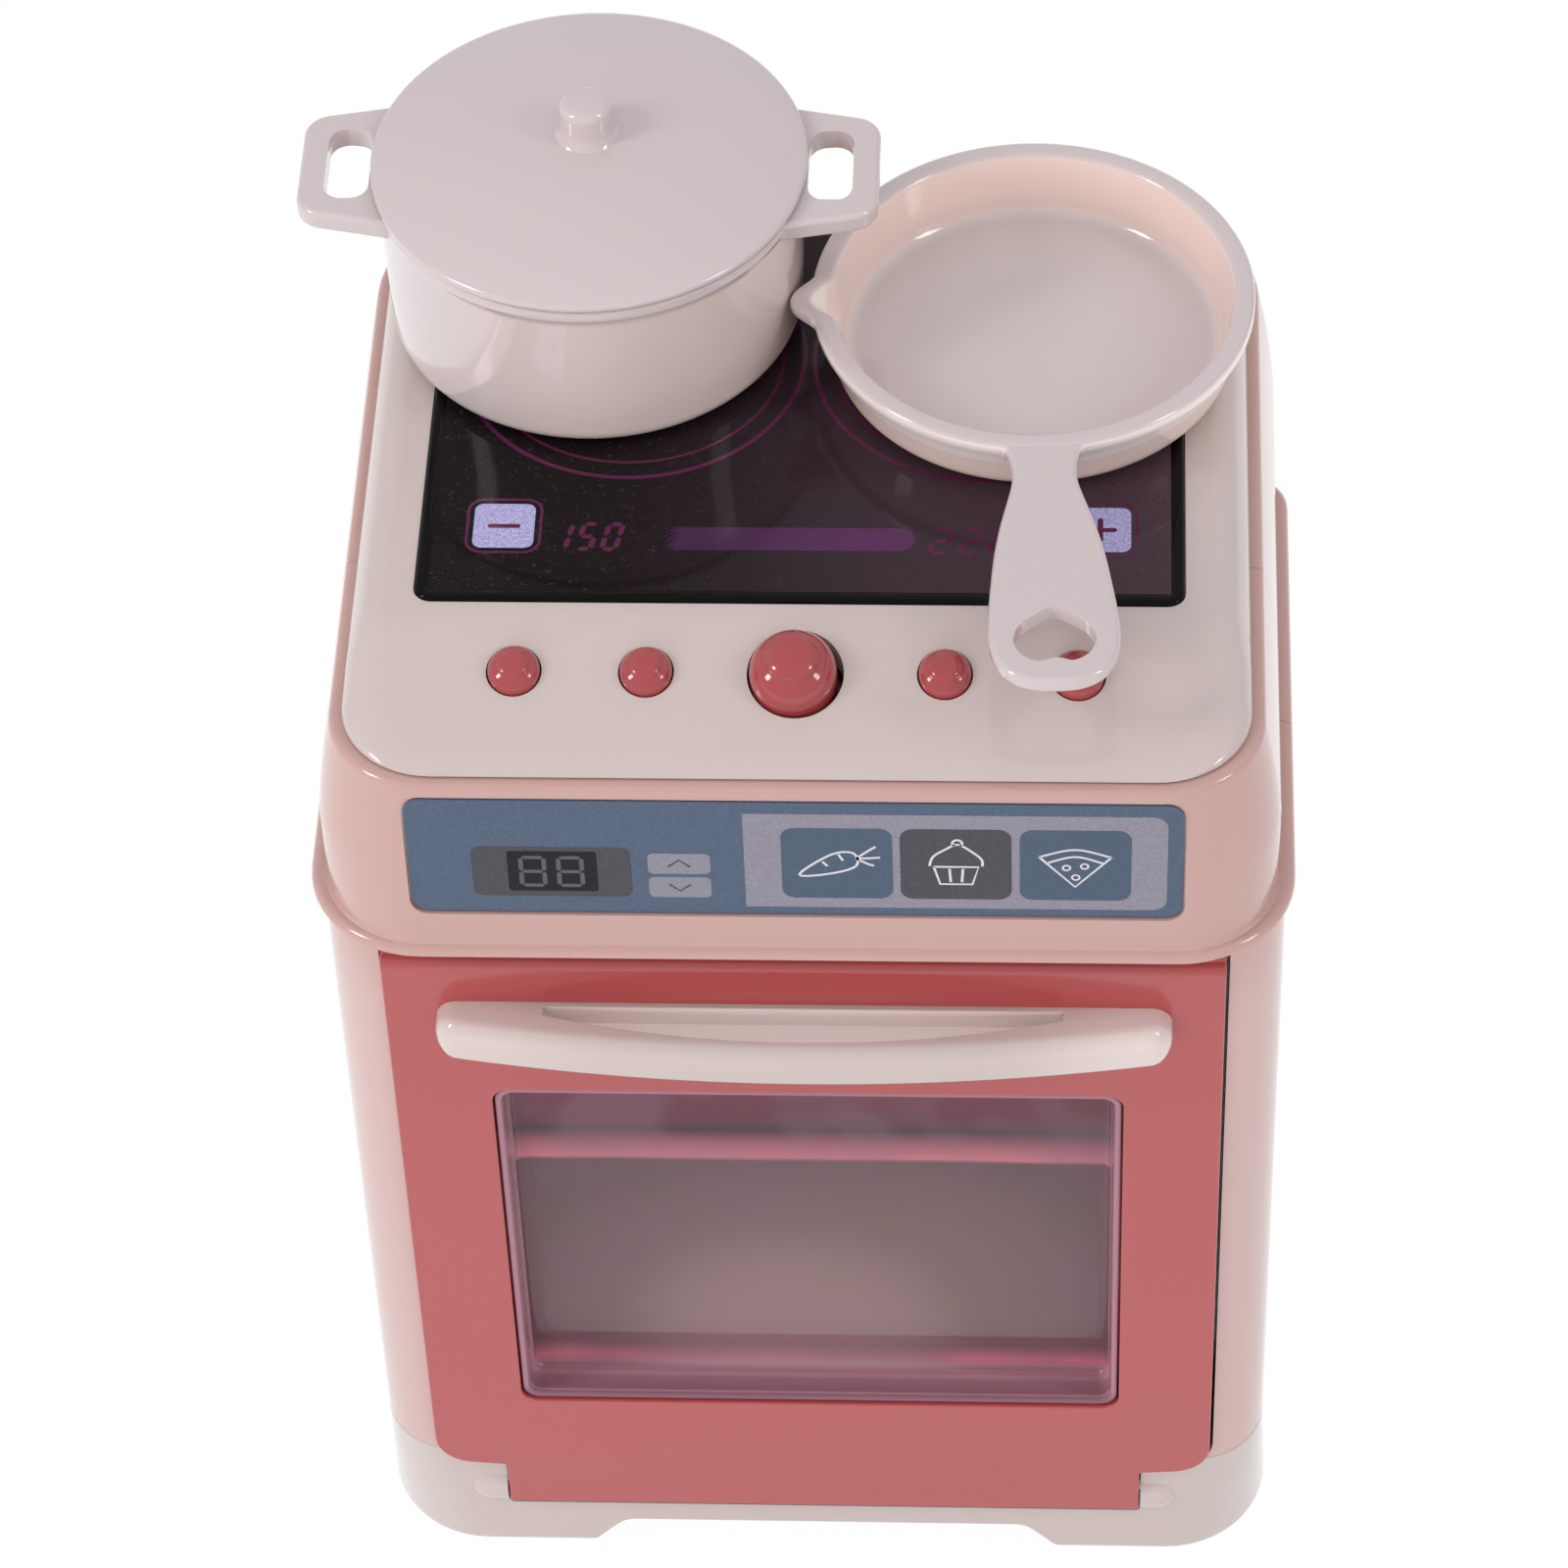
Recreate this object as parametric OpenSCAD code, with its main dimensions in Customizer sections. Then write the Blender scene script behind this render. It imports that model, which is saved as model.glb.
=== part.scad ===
// Toy oven with a two-ring hob, push buttons, a drop-down door and a set of toy cookware.
// Millimetres. +Z is up, the door faces -Y, and the origin is the middle of the footprint on the table.

/* [Body] */
// Width of the body across its sides
body_w = 160; // [150:1:180]
// Depth of the body from its front face to its back
body_d = 128; // [122:1:140]
// Radius of the body's upright front corners
body_r = 12.5; // [9:0.5:14]
// Thickness of the moulded walls
wall = 2; // [1.6:0.1:2.4]
// How far behind the front face the front and rear shells part
seam_back = 42.5; // [36:0.5:48]
// How far behind the front face the sides step in
step_back = 100.5; // [96:0.5:106]
// How much the sides step in there
step_in = 2; // [1.5:0.5:3]
// Radius of the upright rear corners
rear_r = 20; // [16:1:24]

/* [Base] */
// Height of the base, from the table to its seam with the body
base_h = 29; // [28:0.5:32]
// How far the foot of the base stands out at each side
base_flare = 1; // [0.5:0.5:2]
// Width of the arch under the front
arch_w = 72; // [60:1:84]
// Height of the arch under the front
arch_h = 7.5; // [6:0.5:9]

/* [Head] */
// Height of the underside of the lip
lip_z = 178; // [176:1:190]
// How far the head overhangs the body's front face
overhang = 8.3; // [7:0.1:10]
// How far the lip stands out from the head
lip_out = 2.8; // [2:0.1:3.5]
// Thickness of the lip
lip_t = 2.2; // [1.8:0.1:3]
// How far the head's sides stand in from the body's sides
head_in = 1.5; // [1:0.5:6]
// Height of the head from the underside of the lip to its top edge
head_h = 39.2; // [38:0.2:46]
// How much the head narrows at each side towards its top edge
head_lean = 3; // [2:0.5:4]
// Radius of the head's upright front corners
head_r = 17; // [14:0.5:20]

/* [Top panel] */
// Width of the ledge round the top panel
ledge = 2.2; // [1.5:0.1:3]
// Height of the top panel's face above the head's top edge
panel_rise = 8.2; // [7.6:0.2:9]
// Radius of the top panel's rolled edge
roll_r = 7; // [6:0.5:7.5]
// Distance of the hob plate's sides from the top panel's sides
hob_in = 10.9; // [10.5:0.1:18]
// Length of the hob plate, front to back
hob_l = 90.7; // [84:0.1:92]
// Distance from the body's front face to the hob plate
hob_back = 25.8; // [25:0.1:28]
// Thickness of the hob plate
hob_t = 2.6; // [2.2:0.2:3.6]
// How far the hob plate stands above the top panel
hob_proud = 0.6; // [0.2:0.1:1]
// How much the strip with the buttons falls towards the front, per millimetre
slope = 0.29; // [0.2:0.01:0.29]

/* [Buttons] */
// Distance from the body's front face to the middles of the small buttons
small_back = 12.7; // [12.2:0.1:13.2]
// Distance from the body's front face to the middle of the big button
big_back = 12.6; // [12:0.1:13]
// Radius of the small buttons
small_r = 4.25; // [3.8:0.05:4.6]
// Height of the small buttons above the strip
small_h = 3; // [2.4:0.1:3.6]
// Radius of the middle button
big_r = 7.1; // [6:0.1:7.2]
// Height of the middle button above the strip
big_h = 6.6; // [5.6:0.1:7.2]
// Room round the middle button in its hole
big_room = 0.7; // [0.3:0.1:0.8]
// How far the middle button stands off the middle of its hole
big_off = -0.35; // [-0.4:0.05:0.4]
// Distance of the inner small buttons from the middle
inner_x = 24; // [22:0.5:26]
// Distance of the outer small buttons from the middle
outer_x = 45.3; // [43:0.1:48]
// Travel of a button
travel = 2; // [1.5:0.1:2.2]

/* [Control strip] */
// Distance of the recessed strip's ends from the head's sides
strip_in = 15.9; // [15:0.1:24]
// Height of the recessed strip
strip_h = 27.2; // [22:0.2:28]
// Height of the strip's lower edge above the underside of the lip
strip_up = 9.6; // [8:0.2:10]
// Corner radius of the strip
strip_r = 3; // [2:0.5:4]

/* [Door] */
// Width of the door
door_w = 140.4; // [130:0.2:141]
// Gap between the door and the body
door_gap = 0.6; // [0.4:0.1:1]
// How far the door stands out from the body's front face
door_proud = 1.5; // [1:0.1:2]
// Depth of the door's outer shell, front to back
shell_d = 8; // [7.6:0.2:8.2]
// Depth of the door's inner frame, front to back
frame_d = 5.6; // [5:0.2:6]
// Height of the door's main lower edge
door_bottom = 26.4; // [26.4:0.2:27]
// Corner radius of the door
door_r = 7; // [4:0.5:8]
// Width of the hinge tab under the door
tab_w = 115; // [105:1:116]
// Height of the hinge tab's lower edge
tab_bottom = 14.7; // [14.5:0.1:15]
// Height of the hinge axis
hinge_z = 18; // [18:0.1:18.2]
// Radius of the hinge pins
pin_r = 1.5; // [1.2:0.1:1.8]
// Width of the window opening
window_w = 107; // [96:1:110]
// Height of the lower edge of the window opening
window_z = 45.6; // [44:0.2:50]
// Height of the window opening
window_h = 88; // [80:1:90]
// Corner radius of the window opening
window_r = 3; // [2:0.5:5]
// How far the window tray tapers at each side
window_taper = 2.2; // [1.5:0.1:3]
// Height of the opening through the door's inner frame
view_h = 54; // [45:1:60]

/* [Door handle] */
// Length of the handle
handle_w = 123; // [110:1:126]
// Height of the handle's lower face
handle_z = 149; // [146:0.5:156]
// Height of the handle, from its lower to its upper face
handle_h = 8.3; // [7:0.1:10]
// How far the handle stands out at its ends
handle_end = 6; // [5:0.1:7]
// How far the handle stands out in the middle
handle_mid = 11.5; // [10:0.1:12]
// Length of the finger pocket
pocket_w = 87; // [70:1:95]
// Depth of the finger pocket from the top
pocket_h = 4.6; // [4.4:0.1:6.5]

/* [Oven] */
// Width of the oven space
oven_w = 112; // [100:1:116]
// Height of the oven floor
oven_z = 42; // [40:0.5:44]
// Height of the oven space
oven_h = 66; // [60:1:70]
// Depth of the oven space
oven_d = 72; // [60:1:76]

/* [Power and sound] */
// Length of one battery
cell_l = 50.5; // [49.5:0.1:51]
// Radius of one battery
cell_r = 7.2; // [7:0.05:7.25]
// Number of batteries
cell_n = 3; // [2:1:3]
// Radius of the speaker
speaker_r = 14; // [12:0.5:15]

/* [Boards] */
// Width of the main board
main_w = 72; // [68:1:76]
// Depth of the main board
main_d = 44; // [42:1:48]
// Length of the chip on the main board
chip_l = 14; // [8:1:18]
// Width of the chip on the main board
chip_w = 10; // [6:1:12]
// Height of the capacitors on the main board
cap_h = 7; // [5:0.5:9]
// Radius of the capacitors on the main board
cap_r = 3; // [2:0.5:4]
// Length of the plug on the main board
plug_l = 8; // [6:1:10]
// Width of the plug on the main board
plug_w = 5; // [4:1:6]
// Depth of the button board
pad_board_d = 12; // [10:1:14]
// Width of a battery contact plate
contact_w = 8; // [6:0.5:9]

/* [Saucepan] */
// Distance of the saucepan's middle from the middle of the oven, to the left
pot_x = 36.2; // [36:0.1:37]
// Distance of the saucepan's middle behind the middle of the body
pot_y = 31.4; // [28:0.1:32]
// Outer radius of the saucepan at its rim
pot_r = 35.3; // [33:0.1:35.5]
// Height of the saucepan
pot_h = 31.5; // [30:0.5:38]
// Thickness of the cookware's walls
ware_t = 1.8; // [1.5:0.1:2]
// Radius of the lid
lid_r = 36.2; // [36:0.1:36.6]
// Height of the lid's crown above its edge
lid_crown = 5.4; // [4:0.2:6]
// Distance from the saucepan's middle to the outer end of a loop handle
loop_reach = 48; // [46:0.5:50]
// Height of the lid's knob
knob_h = 7.2; // [6:0.2:9]
// Radius of the lid's knob
knob_r = 4.3; // [4:0.1:6]

/* [Frying pan] */
// Distance of the pan's middle from the middle of the oven, to the right
pan_x = 37.3; // [37.2:0.1:38]
// Distance of the pan's middle behind the middle of the body
pan_y = 20.7; // [20:0.1:24]
// Outer radius of the pan's rim
pan_r = 36.8; // [35:0.1:37]
// Height of the pan
pan_h = 13.2; // [11:0.1:14]
// Distance from the pan's middle to the end of its handle
pan_reach = 88.5; // [82:0.5:92]
// How far the pan is turned on the hob, in degrees
pan_turn = 3.1; // [0:0.1:4]

/* [Hidden] */
$fn = 64;
hull_fn = 32; // facets of a rounded corner inside a blended shell
clear = 0.3; // gap between a moving piece and what it slides past
fit = 0.05; // radial gap between a pin and its bore
seat = 0.1; // gap between a piece and what it stands on
eps = 0.01;

front_y = -body_d / 2;
back_y = body_d / 2;
seam_y = front_y + seam_back;
step_y = front_y + step_back;
head_w = body_w - 2 * head_in;
head_front = front_y - overhang;
head_top = lip_z + head_h;
panel_z = head_top + panel_rise;
hob_z = panel_z + hob_proud;
hob_front = front_y + hob_back;
roll_front = head_front + 0.6 + ledge; // front of the top panel's rolled edge
panel_w = head_w - 2 * head_lean - 2 * ledge;
panel_r = head_r - 1.5;
hob_w = panel_w - 2 * hob_in;
strip_w = head_w - 2 * strip_in;

door_front = front_y - door_proud;
shell_back = door_front + shell_d;
door_back = shell_back + frame_d;
door_top = lip_z - 2;
recess_w = door_w + 2 * door_gap;
recess_back = door_back + 1; // front of the bulkhead behind the door
hinge_y = door_front + 4;
tab_reach = norm([hinge_y - door_front, hinge_z - tab_bottom]);
trough_w = tab_w + 2 * 0.4;
trough_floor = hinge_z - tab_reach - 0.4;
trough_back = hinge_y + tab_reach + clear;
boss_w = 7; // length of a hinge boss
pin_l = 12;
sill_z = door_bottom - door_gap; // top of the base in front of the door

view_z = window_z + window_taper;
tray_back = door_back - 2.2; // back of the window tray

small_y = front_y + small_back;
big_y = front_y + big_back;
button_y = small_y;
button_x = [-outer_x, -inner_x, inner_x, outer_x];
flange_t = 1.2;
flange_out = 0.9;
small_room = 0.25;
slope_start = hob_front; // where the strip with the buttons starts to fall
slope_run = 8; // length over which it bends
slope_wall = wall * norm([1, slope]); // wall of the strip, measured upright
// Height of the top panel's face at a distance in front of the origin
function face_z(y) = let (u = max(slope_start - y, 0))
  panel_z - slope * (u < slope_run ? u * u / (2 * slope_run) : u - slope_run / 2);
// underside of a button's flange
flange_z = face_z(big_y - big_r - flange_out) - slope_wall - flange_t - 0.25;
stem_z = flange_z - 0.8; // lower end of a button's stem
board_t = 1.6;
pad_top = stem_z - travel - 0.2;
pad_h = 2.4;
board_z = pad_top - pad_h - board_t;

oven_front = recess_back + wall;
oven_back = oven_front + oven_d;
oven_top = oven_z + oven_h;
liner_t = 1.5;

cell_pitch = 2 * cell_r + 0.6;
box_w = cell_n * cell_pitch + 2 * wall + 1;
box_z = 112; // lower end of the battery box
box_h = cell_l + 2 * wall + 5;
box_d = 2 * cell_r + 3;
box_back = back_y - wall;
box_front = box_back - box_d;
cover_w = box_w + 8;
cover_h = box_h + 10;
cover_z = box_z - 1;
cover_screw_z = box_z + box_h + 4.4;

speaker_x = -40;
speaker_z = 70;
screw_r = 1.3; // shank of a screw
screw_head_r = 2.6;
thread_r = screw_r + 0.02; // bore that a shank is driven into
pass_r = screw_r + 0.2; // hole that a shank passes through

pot_z = hob_z + seat;
lid_z = pot_z + pot_h + seat;
loop_t = 3.8;
loop_drop = 0.3; // top of the loop handles below the rim
loop_bar = 4.4; // width of a loop handle's outer bar
loop_gap = 17; // length of the hole in a loop handle
pan_z = hob_z + seat;

pink = [0.86, 0.70, 0.67];
cream = [0.83, 0.77, 0.74];
coral = [0.75, 0.38, 0.38];
black = [0.10, 0.08, 0.09];
slate = [0.36, 0.41, 0.49];
smoke = [0.45, 0.35, 0.42, 0.5];
board_green = [0.10, 0.35, 0.22];
steel = [0.72, 0.72, 0.74];

// ---- outlines and shared shapes ----

// Plan outline with its own radii at the front and at the back
module plan(w, y0, y1, rf, rb, fn = 64) {
  translate([-w / 2, y0 + rf]) square([w, y1 - rb - y0 - rf]);
  translate([-w / 2 + rf, y0]) square([w - 2 * rf, y1 - y0 - rb]);
  translate([-w / 2 + rb, y0 + rf]) square([w - 2 * rb, y1 - y0 - rf]);
  for (s = [-1, 1]) {
    translate([s * (w / 2 - rf), y0 + rf]) circle(rf, $fn = fn);
    translate([s * (w / 2 - rb), y1 - rb]) circle(rb, $fn = fn);
  }
}

module plan_slab(z, h, w, y0, y1, rf, rb, fn = 64) {
  translate([0, 0, z]) linear_extrude(h) plan(w, y0, y1, rf, rb, fn);
}

// Outline in the plane of the door, drawn as width by height from a lower edge z0
module face_outline(w, z0, h, r) {
  translate([-w / 2, z0 + r]) square([w, h - 2 * r]);
  translate([-w / 2 + r, z0]) square([w - 2 * r, h]);
  for (s = [-1, 1], z = [z0 + r, z0 + h - r]) translate([s * (w / 2 - r), z]) circle(r);
}

// A slab in the plane of the door, from y0 to y0 + d
module face_slab(y0, d) {
  translate([0, y0 + d, 0]) rotate([90, 0, 0]) linear_extrude(d) children();
}

module ring(r_out, r_in, h) {
  difference() {
    cylinder(r = r_out, h = h);
    translate([0, 0, -eps]) cylinder(r = r_in, h = h + 2 * eps);
  }
}

// A pan-head screw along -Z whose head rests at z = 0
module screw(l, r = screw_r, head = screw_head_r, head_h = 1.4) {
  difference() {
    union() {
      cylinder(r = head, h = head_h);
      translate([0, 0, -l]) cylinder(r = r, h = l + eps);
    }
    for (a = [0, 90]) rotate(a) translate([-head * 0.6, -0.35, head_h - 0.7]) cube([head * 1.2, 0.7, 1]);
  }
}

// Whole outside of the body between two heights
module body_solid(z0, z1, inset = 0) {
  plan_slab(z0, z1 - z0, body_w - 2 * inset, front_y + inset, step_y - inset, body_r - inset, 8 - inset);
  plan_slab(z0, z1 - z0, body_w - 2 * step_in - 2 * inset, front_y + 20, back_y - inset, 2, rear_r - inset);
}

// Outside of the head, blended from the lip to its top edge
module head_solid(inset = 0) {
  hull() {
    plan_slab(lip_z, eps, head_w - 2 * inset, head_front + inset, back_y - inset,
      head_r - inset, rear_r - inset, hull_fn);
    plan_slab(lip_z + 18, eps, head_w - 2 * inset, head_front + inset, back_y - inset,
      head_r - inset, rear_r - inset, hull_fn);
    plan_slab(head_top - eps, eps, head_w - 2 * head_lean - 2 * inset, head_front + 0.6 + inset,
      back_y - inset, head_r - inset, rear_r - inset, hull_fn);
  }
}

// Top panel blended down to its rolled edge
module panel_solid(inset = 0, low = 0) {
  hull() {
    plan_slab(head_top - low, eps, panel_w - 2 * inset, roll_front + inset, back_y - ledge - inset,
      panel_r - inset, rear_r - inset, hull_fn);
    for (a = [0:22.5:90]) {
      in = roll_r * (1 - cos(a)) + inset;
      plan_slab(panel_z - inset - roll_r * (1 - sin(a)) - eps, eps, panel_w - 2 * in, roll_front + in,
        back_y - ledge - in, panel_r - in, rear_r - in, hull_fn);
    }
  }
}

// Room above the top panel's face, which falls in front of the hob
module above_face(down = 0) {
  rotate([90, 0, 90]) translate([0, 0, -body_w]) linear_extrude(2 * body_w) polygon(concat(
    [[-2 * body_d, panel_z + 40], [slope_start, panel_z + 40]],
    [for (u = [0:2:slope_run]) [slope_start - u, face_z(slope_start - u) - down]],
    [[-2 * body_d, face_z(-2 * body_d) - down]]));
}

module upto(y) {
  translate([-body_w, y - 2 * body_d, -10]) cube([2 * body_w, 2 * body_d, panel_z + 20]);
}

// ---- base ----

base_screw_x = body_w / 2 - 20;
base_screw_at = [for (x = [-base_screw_x, base_screw_x], y = [-30, 36]) [x, y]];
// The posts for the shells' screws stand beside the oven's flange
shell_screw_x = oven_w / 2 + 10;
shell_screw_at = [for (x = [-shell_screw_x, shell_screw_x], z = [60, 150]) [x, z]];
post_end = back_y - wall - 16.2;

module base_solid(inset = 0) {
  hull() {
    plan_slab(base_h - eps, eps, body_w - 2 * inset, front_y + inset, back_y - inset,
      body_r - inset, rear_r - inset, hull_fn);
    plan_slab(1.2, eps, body_w + 2 * base_flare - 2 * inset, front_y + inset, back_y - inset,
      body_r + 5 - inset, rear_r - inset, hull_fn);
    plan_slab(0, eps, body_w + 2 * base_flare - 2.4 - 2 * inset, front_y + 1.2 + inset, back_y - 1.2 - inset,
      body_r + 4 - inset, rear_r - inset, hull_fn);
  }
}

// Cream base with its feet, the arch under the front and the two hinge bosses
module base_shell() color(cream) {
  boss_x = trough_w / 2;
  difference() {
    union() {
      difference() {
        base_solid();
        translate([0, 0, -1]) plan_slab(0, base_h + 2, body_w - 2 * wall, front_y + wall, back_y - wall,
          body_r - wall, rear_r - wall);
      }
      // sill under the door and the trough that the hinge tab turns in
      plan_slab(trough_floor - wall, sill_z - trough_floor + wall, recess_w, front_y, recess_back, 1, 1);
      // ribs and posts that the underside cover is screwed to
      for (p = base_screw_at) {
        translate([p[0], p[1], arch_h + 2 * wall]) cylinder(r = 3.5, h = 8);
        translate([min(p[0], sign(p[0]) * (body_w / 2 - wall / 2)), p[1] - 1, arch_h + 2 * wall])
          cube([body_w / 2 - wall / 2 - abs(p[0]), 2, 8]);
      }
    }
    // space for the hinge tab
    translate([-trough_w / 2, front_y - 5, trough_floor])
      cube([trough_w, trough_back - front_y + 5, base_h]);
    // space for the door above the sill
    translate([-recess_w / 2, front_y - 5, sill_z])
      cube([recess_w, recess_back - front_y + 5 + wall, base_h]);
    // hinge bores
    for (s = [-1, 1]) translate([s * (boss_x - 1), hinge_y, hinge_z]) rotate([0, s * 90, 0])
      cylinder(r = pin_r + 0.02, h = boss_w);
    // arch
    translate([0, front_y + 12, 0]) rotate([90, 0, 0]) linear_extrude(20)
      polygon([[-arch_w / 2 - 8, -1], [-arch_w / 2 - 8, 0], [-arch_w / 2, arch_h], [arch_w / 2, arch_h],
        [arch_w / 2 + 8, 0], [arch_w / 2 + 8, -1]]);
    for (p = base_screw_at) translate([p[0], p[1], 0]) cylinder(r = thread_r, h = arch_h + 2 * wall + 6);
  }
  // hinge bosses that show on the front
  for (s = [-1, 1]) difference() {
    translate([s * (boss_x + boss_w / 2), front_y - 0.6, hinge_z]) rotate([-90, 0, 0])
      difference() {
        cylinder(r = boss_w / 2, h = 0.6 + eps);
        translate([-boss_w, -2 * boss_w, -1]) cube([2 * boss_w, 2 * boss_w - 3, 3]);
      }
    translate([s * (boss_x - 1), hinge_y, hinge_z]) rotate([0, s * 90, 0])
      cylinder(r = pin_r + 0.02, h = boss_w);
  }
}

// Plate that closes the underside
module bottom_cover() color(cream) {
  difference() {
    plan_slab(arch_h + wall, wall, body_w - 2 * wall - 2 * clear, recess_back + clear, back_y - wall - clear,
      2, rear_r - wall);
    for (p = base_screw_at) translate([p[0], p[1], 0]) cylinder(r = pass_r, h = base_h);
  }
}

module base_screws() color(steel) {
  for (p = base_screw_at) translate([p[0], p[1], arch_h + wall]) mirror([0, 0, 1]) screw(6);
}

module hinge_pins() color(steel) {
  for (s = [-1, 1]) translate([s * (trough_w / 2 - 1 + boss_w - pin_l - 0.2), hinge_y, hinge_z])
    rotate([0, s * 90, 0]) cylinder(r = pin_r, h = pin_l);
}

// ---- body shells ----

// Front shell: corner columns, the recess that the door shuts into and the front of the head
module front_shell() color(pink) {
  difference() {
    intersection() {
      union() {
        difference() {
          body_solid(base_h, lip_z);
          translate([0, 0, -eps]) body_solid(base_h, lip_z + 2 * eps, wall);
        }
        // walls of the door recess and the bulkhead behind it
        difference() {
          translate([-recess_w / 2 - wall, front_y, base_h])
            cube([recess_w + 2 * wall, recess_back + wall - front_y, lip_z - base_h]);
          translate([-recess_w / 2, front_y - 1, base_h - 1])
            cube([recess_w, recess_back - front_y + 1, lip_z - base_h + 2]);
        }
        lip();
        head_wall();
      }
      upto(seam_y);
    }
    // door recess through the front face
    translate([-recess_w / 2, front_y - 20, base_h - 1])
      cube([recess_w, 20 + recess_back - front_y, lip_z - base_h + 1]);
    // way into the oven
    translate([-oven_w / 2 - clear, recess_back - 1, oven_z - clear])
      cube([oven_w + 2 * clear, wall + 2, oven_h + 2 * clear]);
    strip_recess();
  }
  // long posts that the shells' screws are driven into
  for (p = shell_screw_at) translate([p[0], recess_back + wall - eps, p[1]]) rotate([-90, 0, 0])
    difference() {
    cylinder(r = 3, h = post_end - recess_back - wall + eps);
    translate([0, 0, post_end - recess_back - wall - 14]) cylinder(r = thread_r, h = 15);
  }
}

module lip() {
  difference() {
    plan_slab(lip_z, lip_t, head_w + 2 * lip_out, head_front - 1.8, step_y + 1, head_r + 2.5, 8);
    translate([0, 0, -eps]) plan_slab(lip_z, lip_t + 2 * eps, body_w - 2 * wall, recess_back + wall,
      step_y - wall, 2, 6);
  }
}

module head_wall() {
  difference() {
    head_solid();
    difference() {
      translate([0, 0, -eps]) head_solid(wall);
      translate([-body_w, head_front - 5, lip_z - 1])
        cube([2 * body_w, recess_back + wall - head_front + 5, lip_t + 1]);
    }
    translate([0, 0, head_top - wall - eps]) plan_slab(0, 2 * wall, panel_w - 2 * wall - 1,
      roll_front + wall + 0.5,
      back_y - ledge - wall - 0.5, panel_r - wall, rear_r - wall);
  }
}

module strip_recess() {
  translate([0, head_front + 0.9, 0]) rotate([90, 0, 0]) linear_extrude(10)
    face_outline(strip_w + 0.4, lip_z + strip_up - 0.2, strip_h + 0.4, strip_r);
}

// Rear shell: sides, back wall with the speaker grille, and the rear of the head
module rear_shell() color(pink) {
  difference() {
    union() {
      difference() {
        union() {
          difference() {
            body_solid(base_h, lip_z);
            translate([0, 0, -eps]) body_solid(base_h, lip_z + 2 * eps, wall);
          }
          lip();
          head_wall();
        }
        upto(seam_y);
      }
      // bosses that the shells' screws pull up to
      for (p = shell_screw_at) translate([p[0], back_y - wall, p[1]]) rotate([90, 0, 0])
        cylinder(r = 3.5, h = 16);
      translate([speaker_x, back_y - wall + eps, speaker_z]) rotate([90, 0, 0]) difference() {
        ring(speaker_r + 4.4, speaker_r + clear, 3);
        for (s = [-1, 1]) translate([0, s * (speaker_r + 2.3), -eps]) cylinder(r = thread_r, h = 5);
      }
    }
    for (p = shell_screw_at) translate([p[0], back_y + 1, p[1]]) rotate([90, 0, 0]) {
      cylinder(r = screw_head_r + 0.4, h = 9);
      cylinder(r = pass_r, h = 40);
    }
    // opening that the battery cover closes
    translate([-cover_w / 2 - clear, back_y - wall - 1, cover_z - clear])
      cube([cover_w + 2 * clear, wall + 2, cover_h + 2 * clear]);
    // grille
    translate([speaker_x, back_y + 1, speaker_z]) rotate([90, 0, 0]) {
      cylinder(r = 1.1, h = 5, $fn = 24);
      for (k = [1, 2], i = [0:6 * k - 1]) rotate(i * 60 / k) translate([k * 4.2, 0, 0])
        cylinder(r = 1.1, h = 5, $fn = 24);
    }
  }
}

module shell_screws() color(steel) {
  for (p = shell_screw_at) translate([p[0], back_y - 8, p[1]]) rotate([-90, 0, 0]) screw(14);
}

// ---- top ----

// Cream top panel with its rolled edge, the hob seat and the five button holes
module top_panel() color(cream) {
  difference() {
    union() {
      difference() {
        panel_solid();
        difference() {
          translate([0, 0, -eps]) panel_solid(wall, eps);
          above_face(slope_wall);
        }
      }
      // tongue that seats inside the head's top edge, and the shelf above it
      difference() {
        plan_slab(head_top, 1.4, panel_w - 1, roll_front + 0.5, back_y - ledge - 0.5, panel_r - 0.5,
          rear_r - 0.5);
        plan_slab(head_top - 1, 4, panel_w - 4 * wall - 2, roll_front + 2 * wall + 1,
          back_y - ledge - 2 * wall - 1, panel_r - 2 * wall, rear_r - 2 * wall);
      }
      difference() {
        plan_slab(head_top - wall - 1, wall + 2, panel_w - 2 * wall - 1 - 2 * clear,
          roll_front + wall + 0.5 + clear,
          back_y - ledge - wall - 0.5 - clear, panel_r - wall, rear_r - wall);
        plan_slab(head_top - wall - 2, wall + 6, panel_w - 4 * wall - 2, roll_front + 2 * wall + 1,
          back_y - ledge - 2 * wall - 1, panel_r - 2 * wall, rear_r - 2 * wall);
      }
      // seat under the hob plate
      translate([0, 0, panel_z - hob_t - wall]) plan_slab(0, hob_t + wall - 0.5, hob_w + 2 * wall,
        hob_front - wall,
        hob_front + hob_l + wall, 4, 4);
      // posts that carry the button board
      for (p = board_post_at) translate([p[0], button_y + p[1], board_z + board_t])
        cylinder(r = 2.6, h = face_z(button_y) - 1 - board_z - board_t);
    }
    above_face();
    plan_slab(hob_z - hob_t, hob_t + 5, hob_w + 0.3, hob_front - 0.15, hob_front + hob_l + 0.15, 3, 3);
    plan_slab(panel_z - hob_t - wall - 1, hob_t + 5, hob_w - 8, hob_front + 4, hob_front + hob_l - 4, 3, 3);
    translate([0, big_y, flange_z]) cylinder(r = big_r + big_room, h = 14);
    for (x = button_x) translate([x, small_y, flange_z]) cylinder(r = small_r + small_room, h = 14);
    for (p = board_post_at) translate([p[0], button_y + p[1], board_z]) cylinder(r = thread_r, h = 7);
  }
}

module hob_plate() color(black) {
  difference() {
    plan_slab(hob_z - hob_t, hob_t, hob_w, hob_front, hob_front + hob_l, 2.8, 2.8);
    // shallow field inside the raised border
    plan_slab(hob_z - 0.2, 1, hob_w - 5, hob_front + 2.5, hob_front + hob_l - 2.5, 1.6, 1.6);
  }
}

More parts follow.
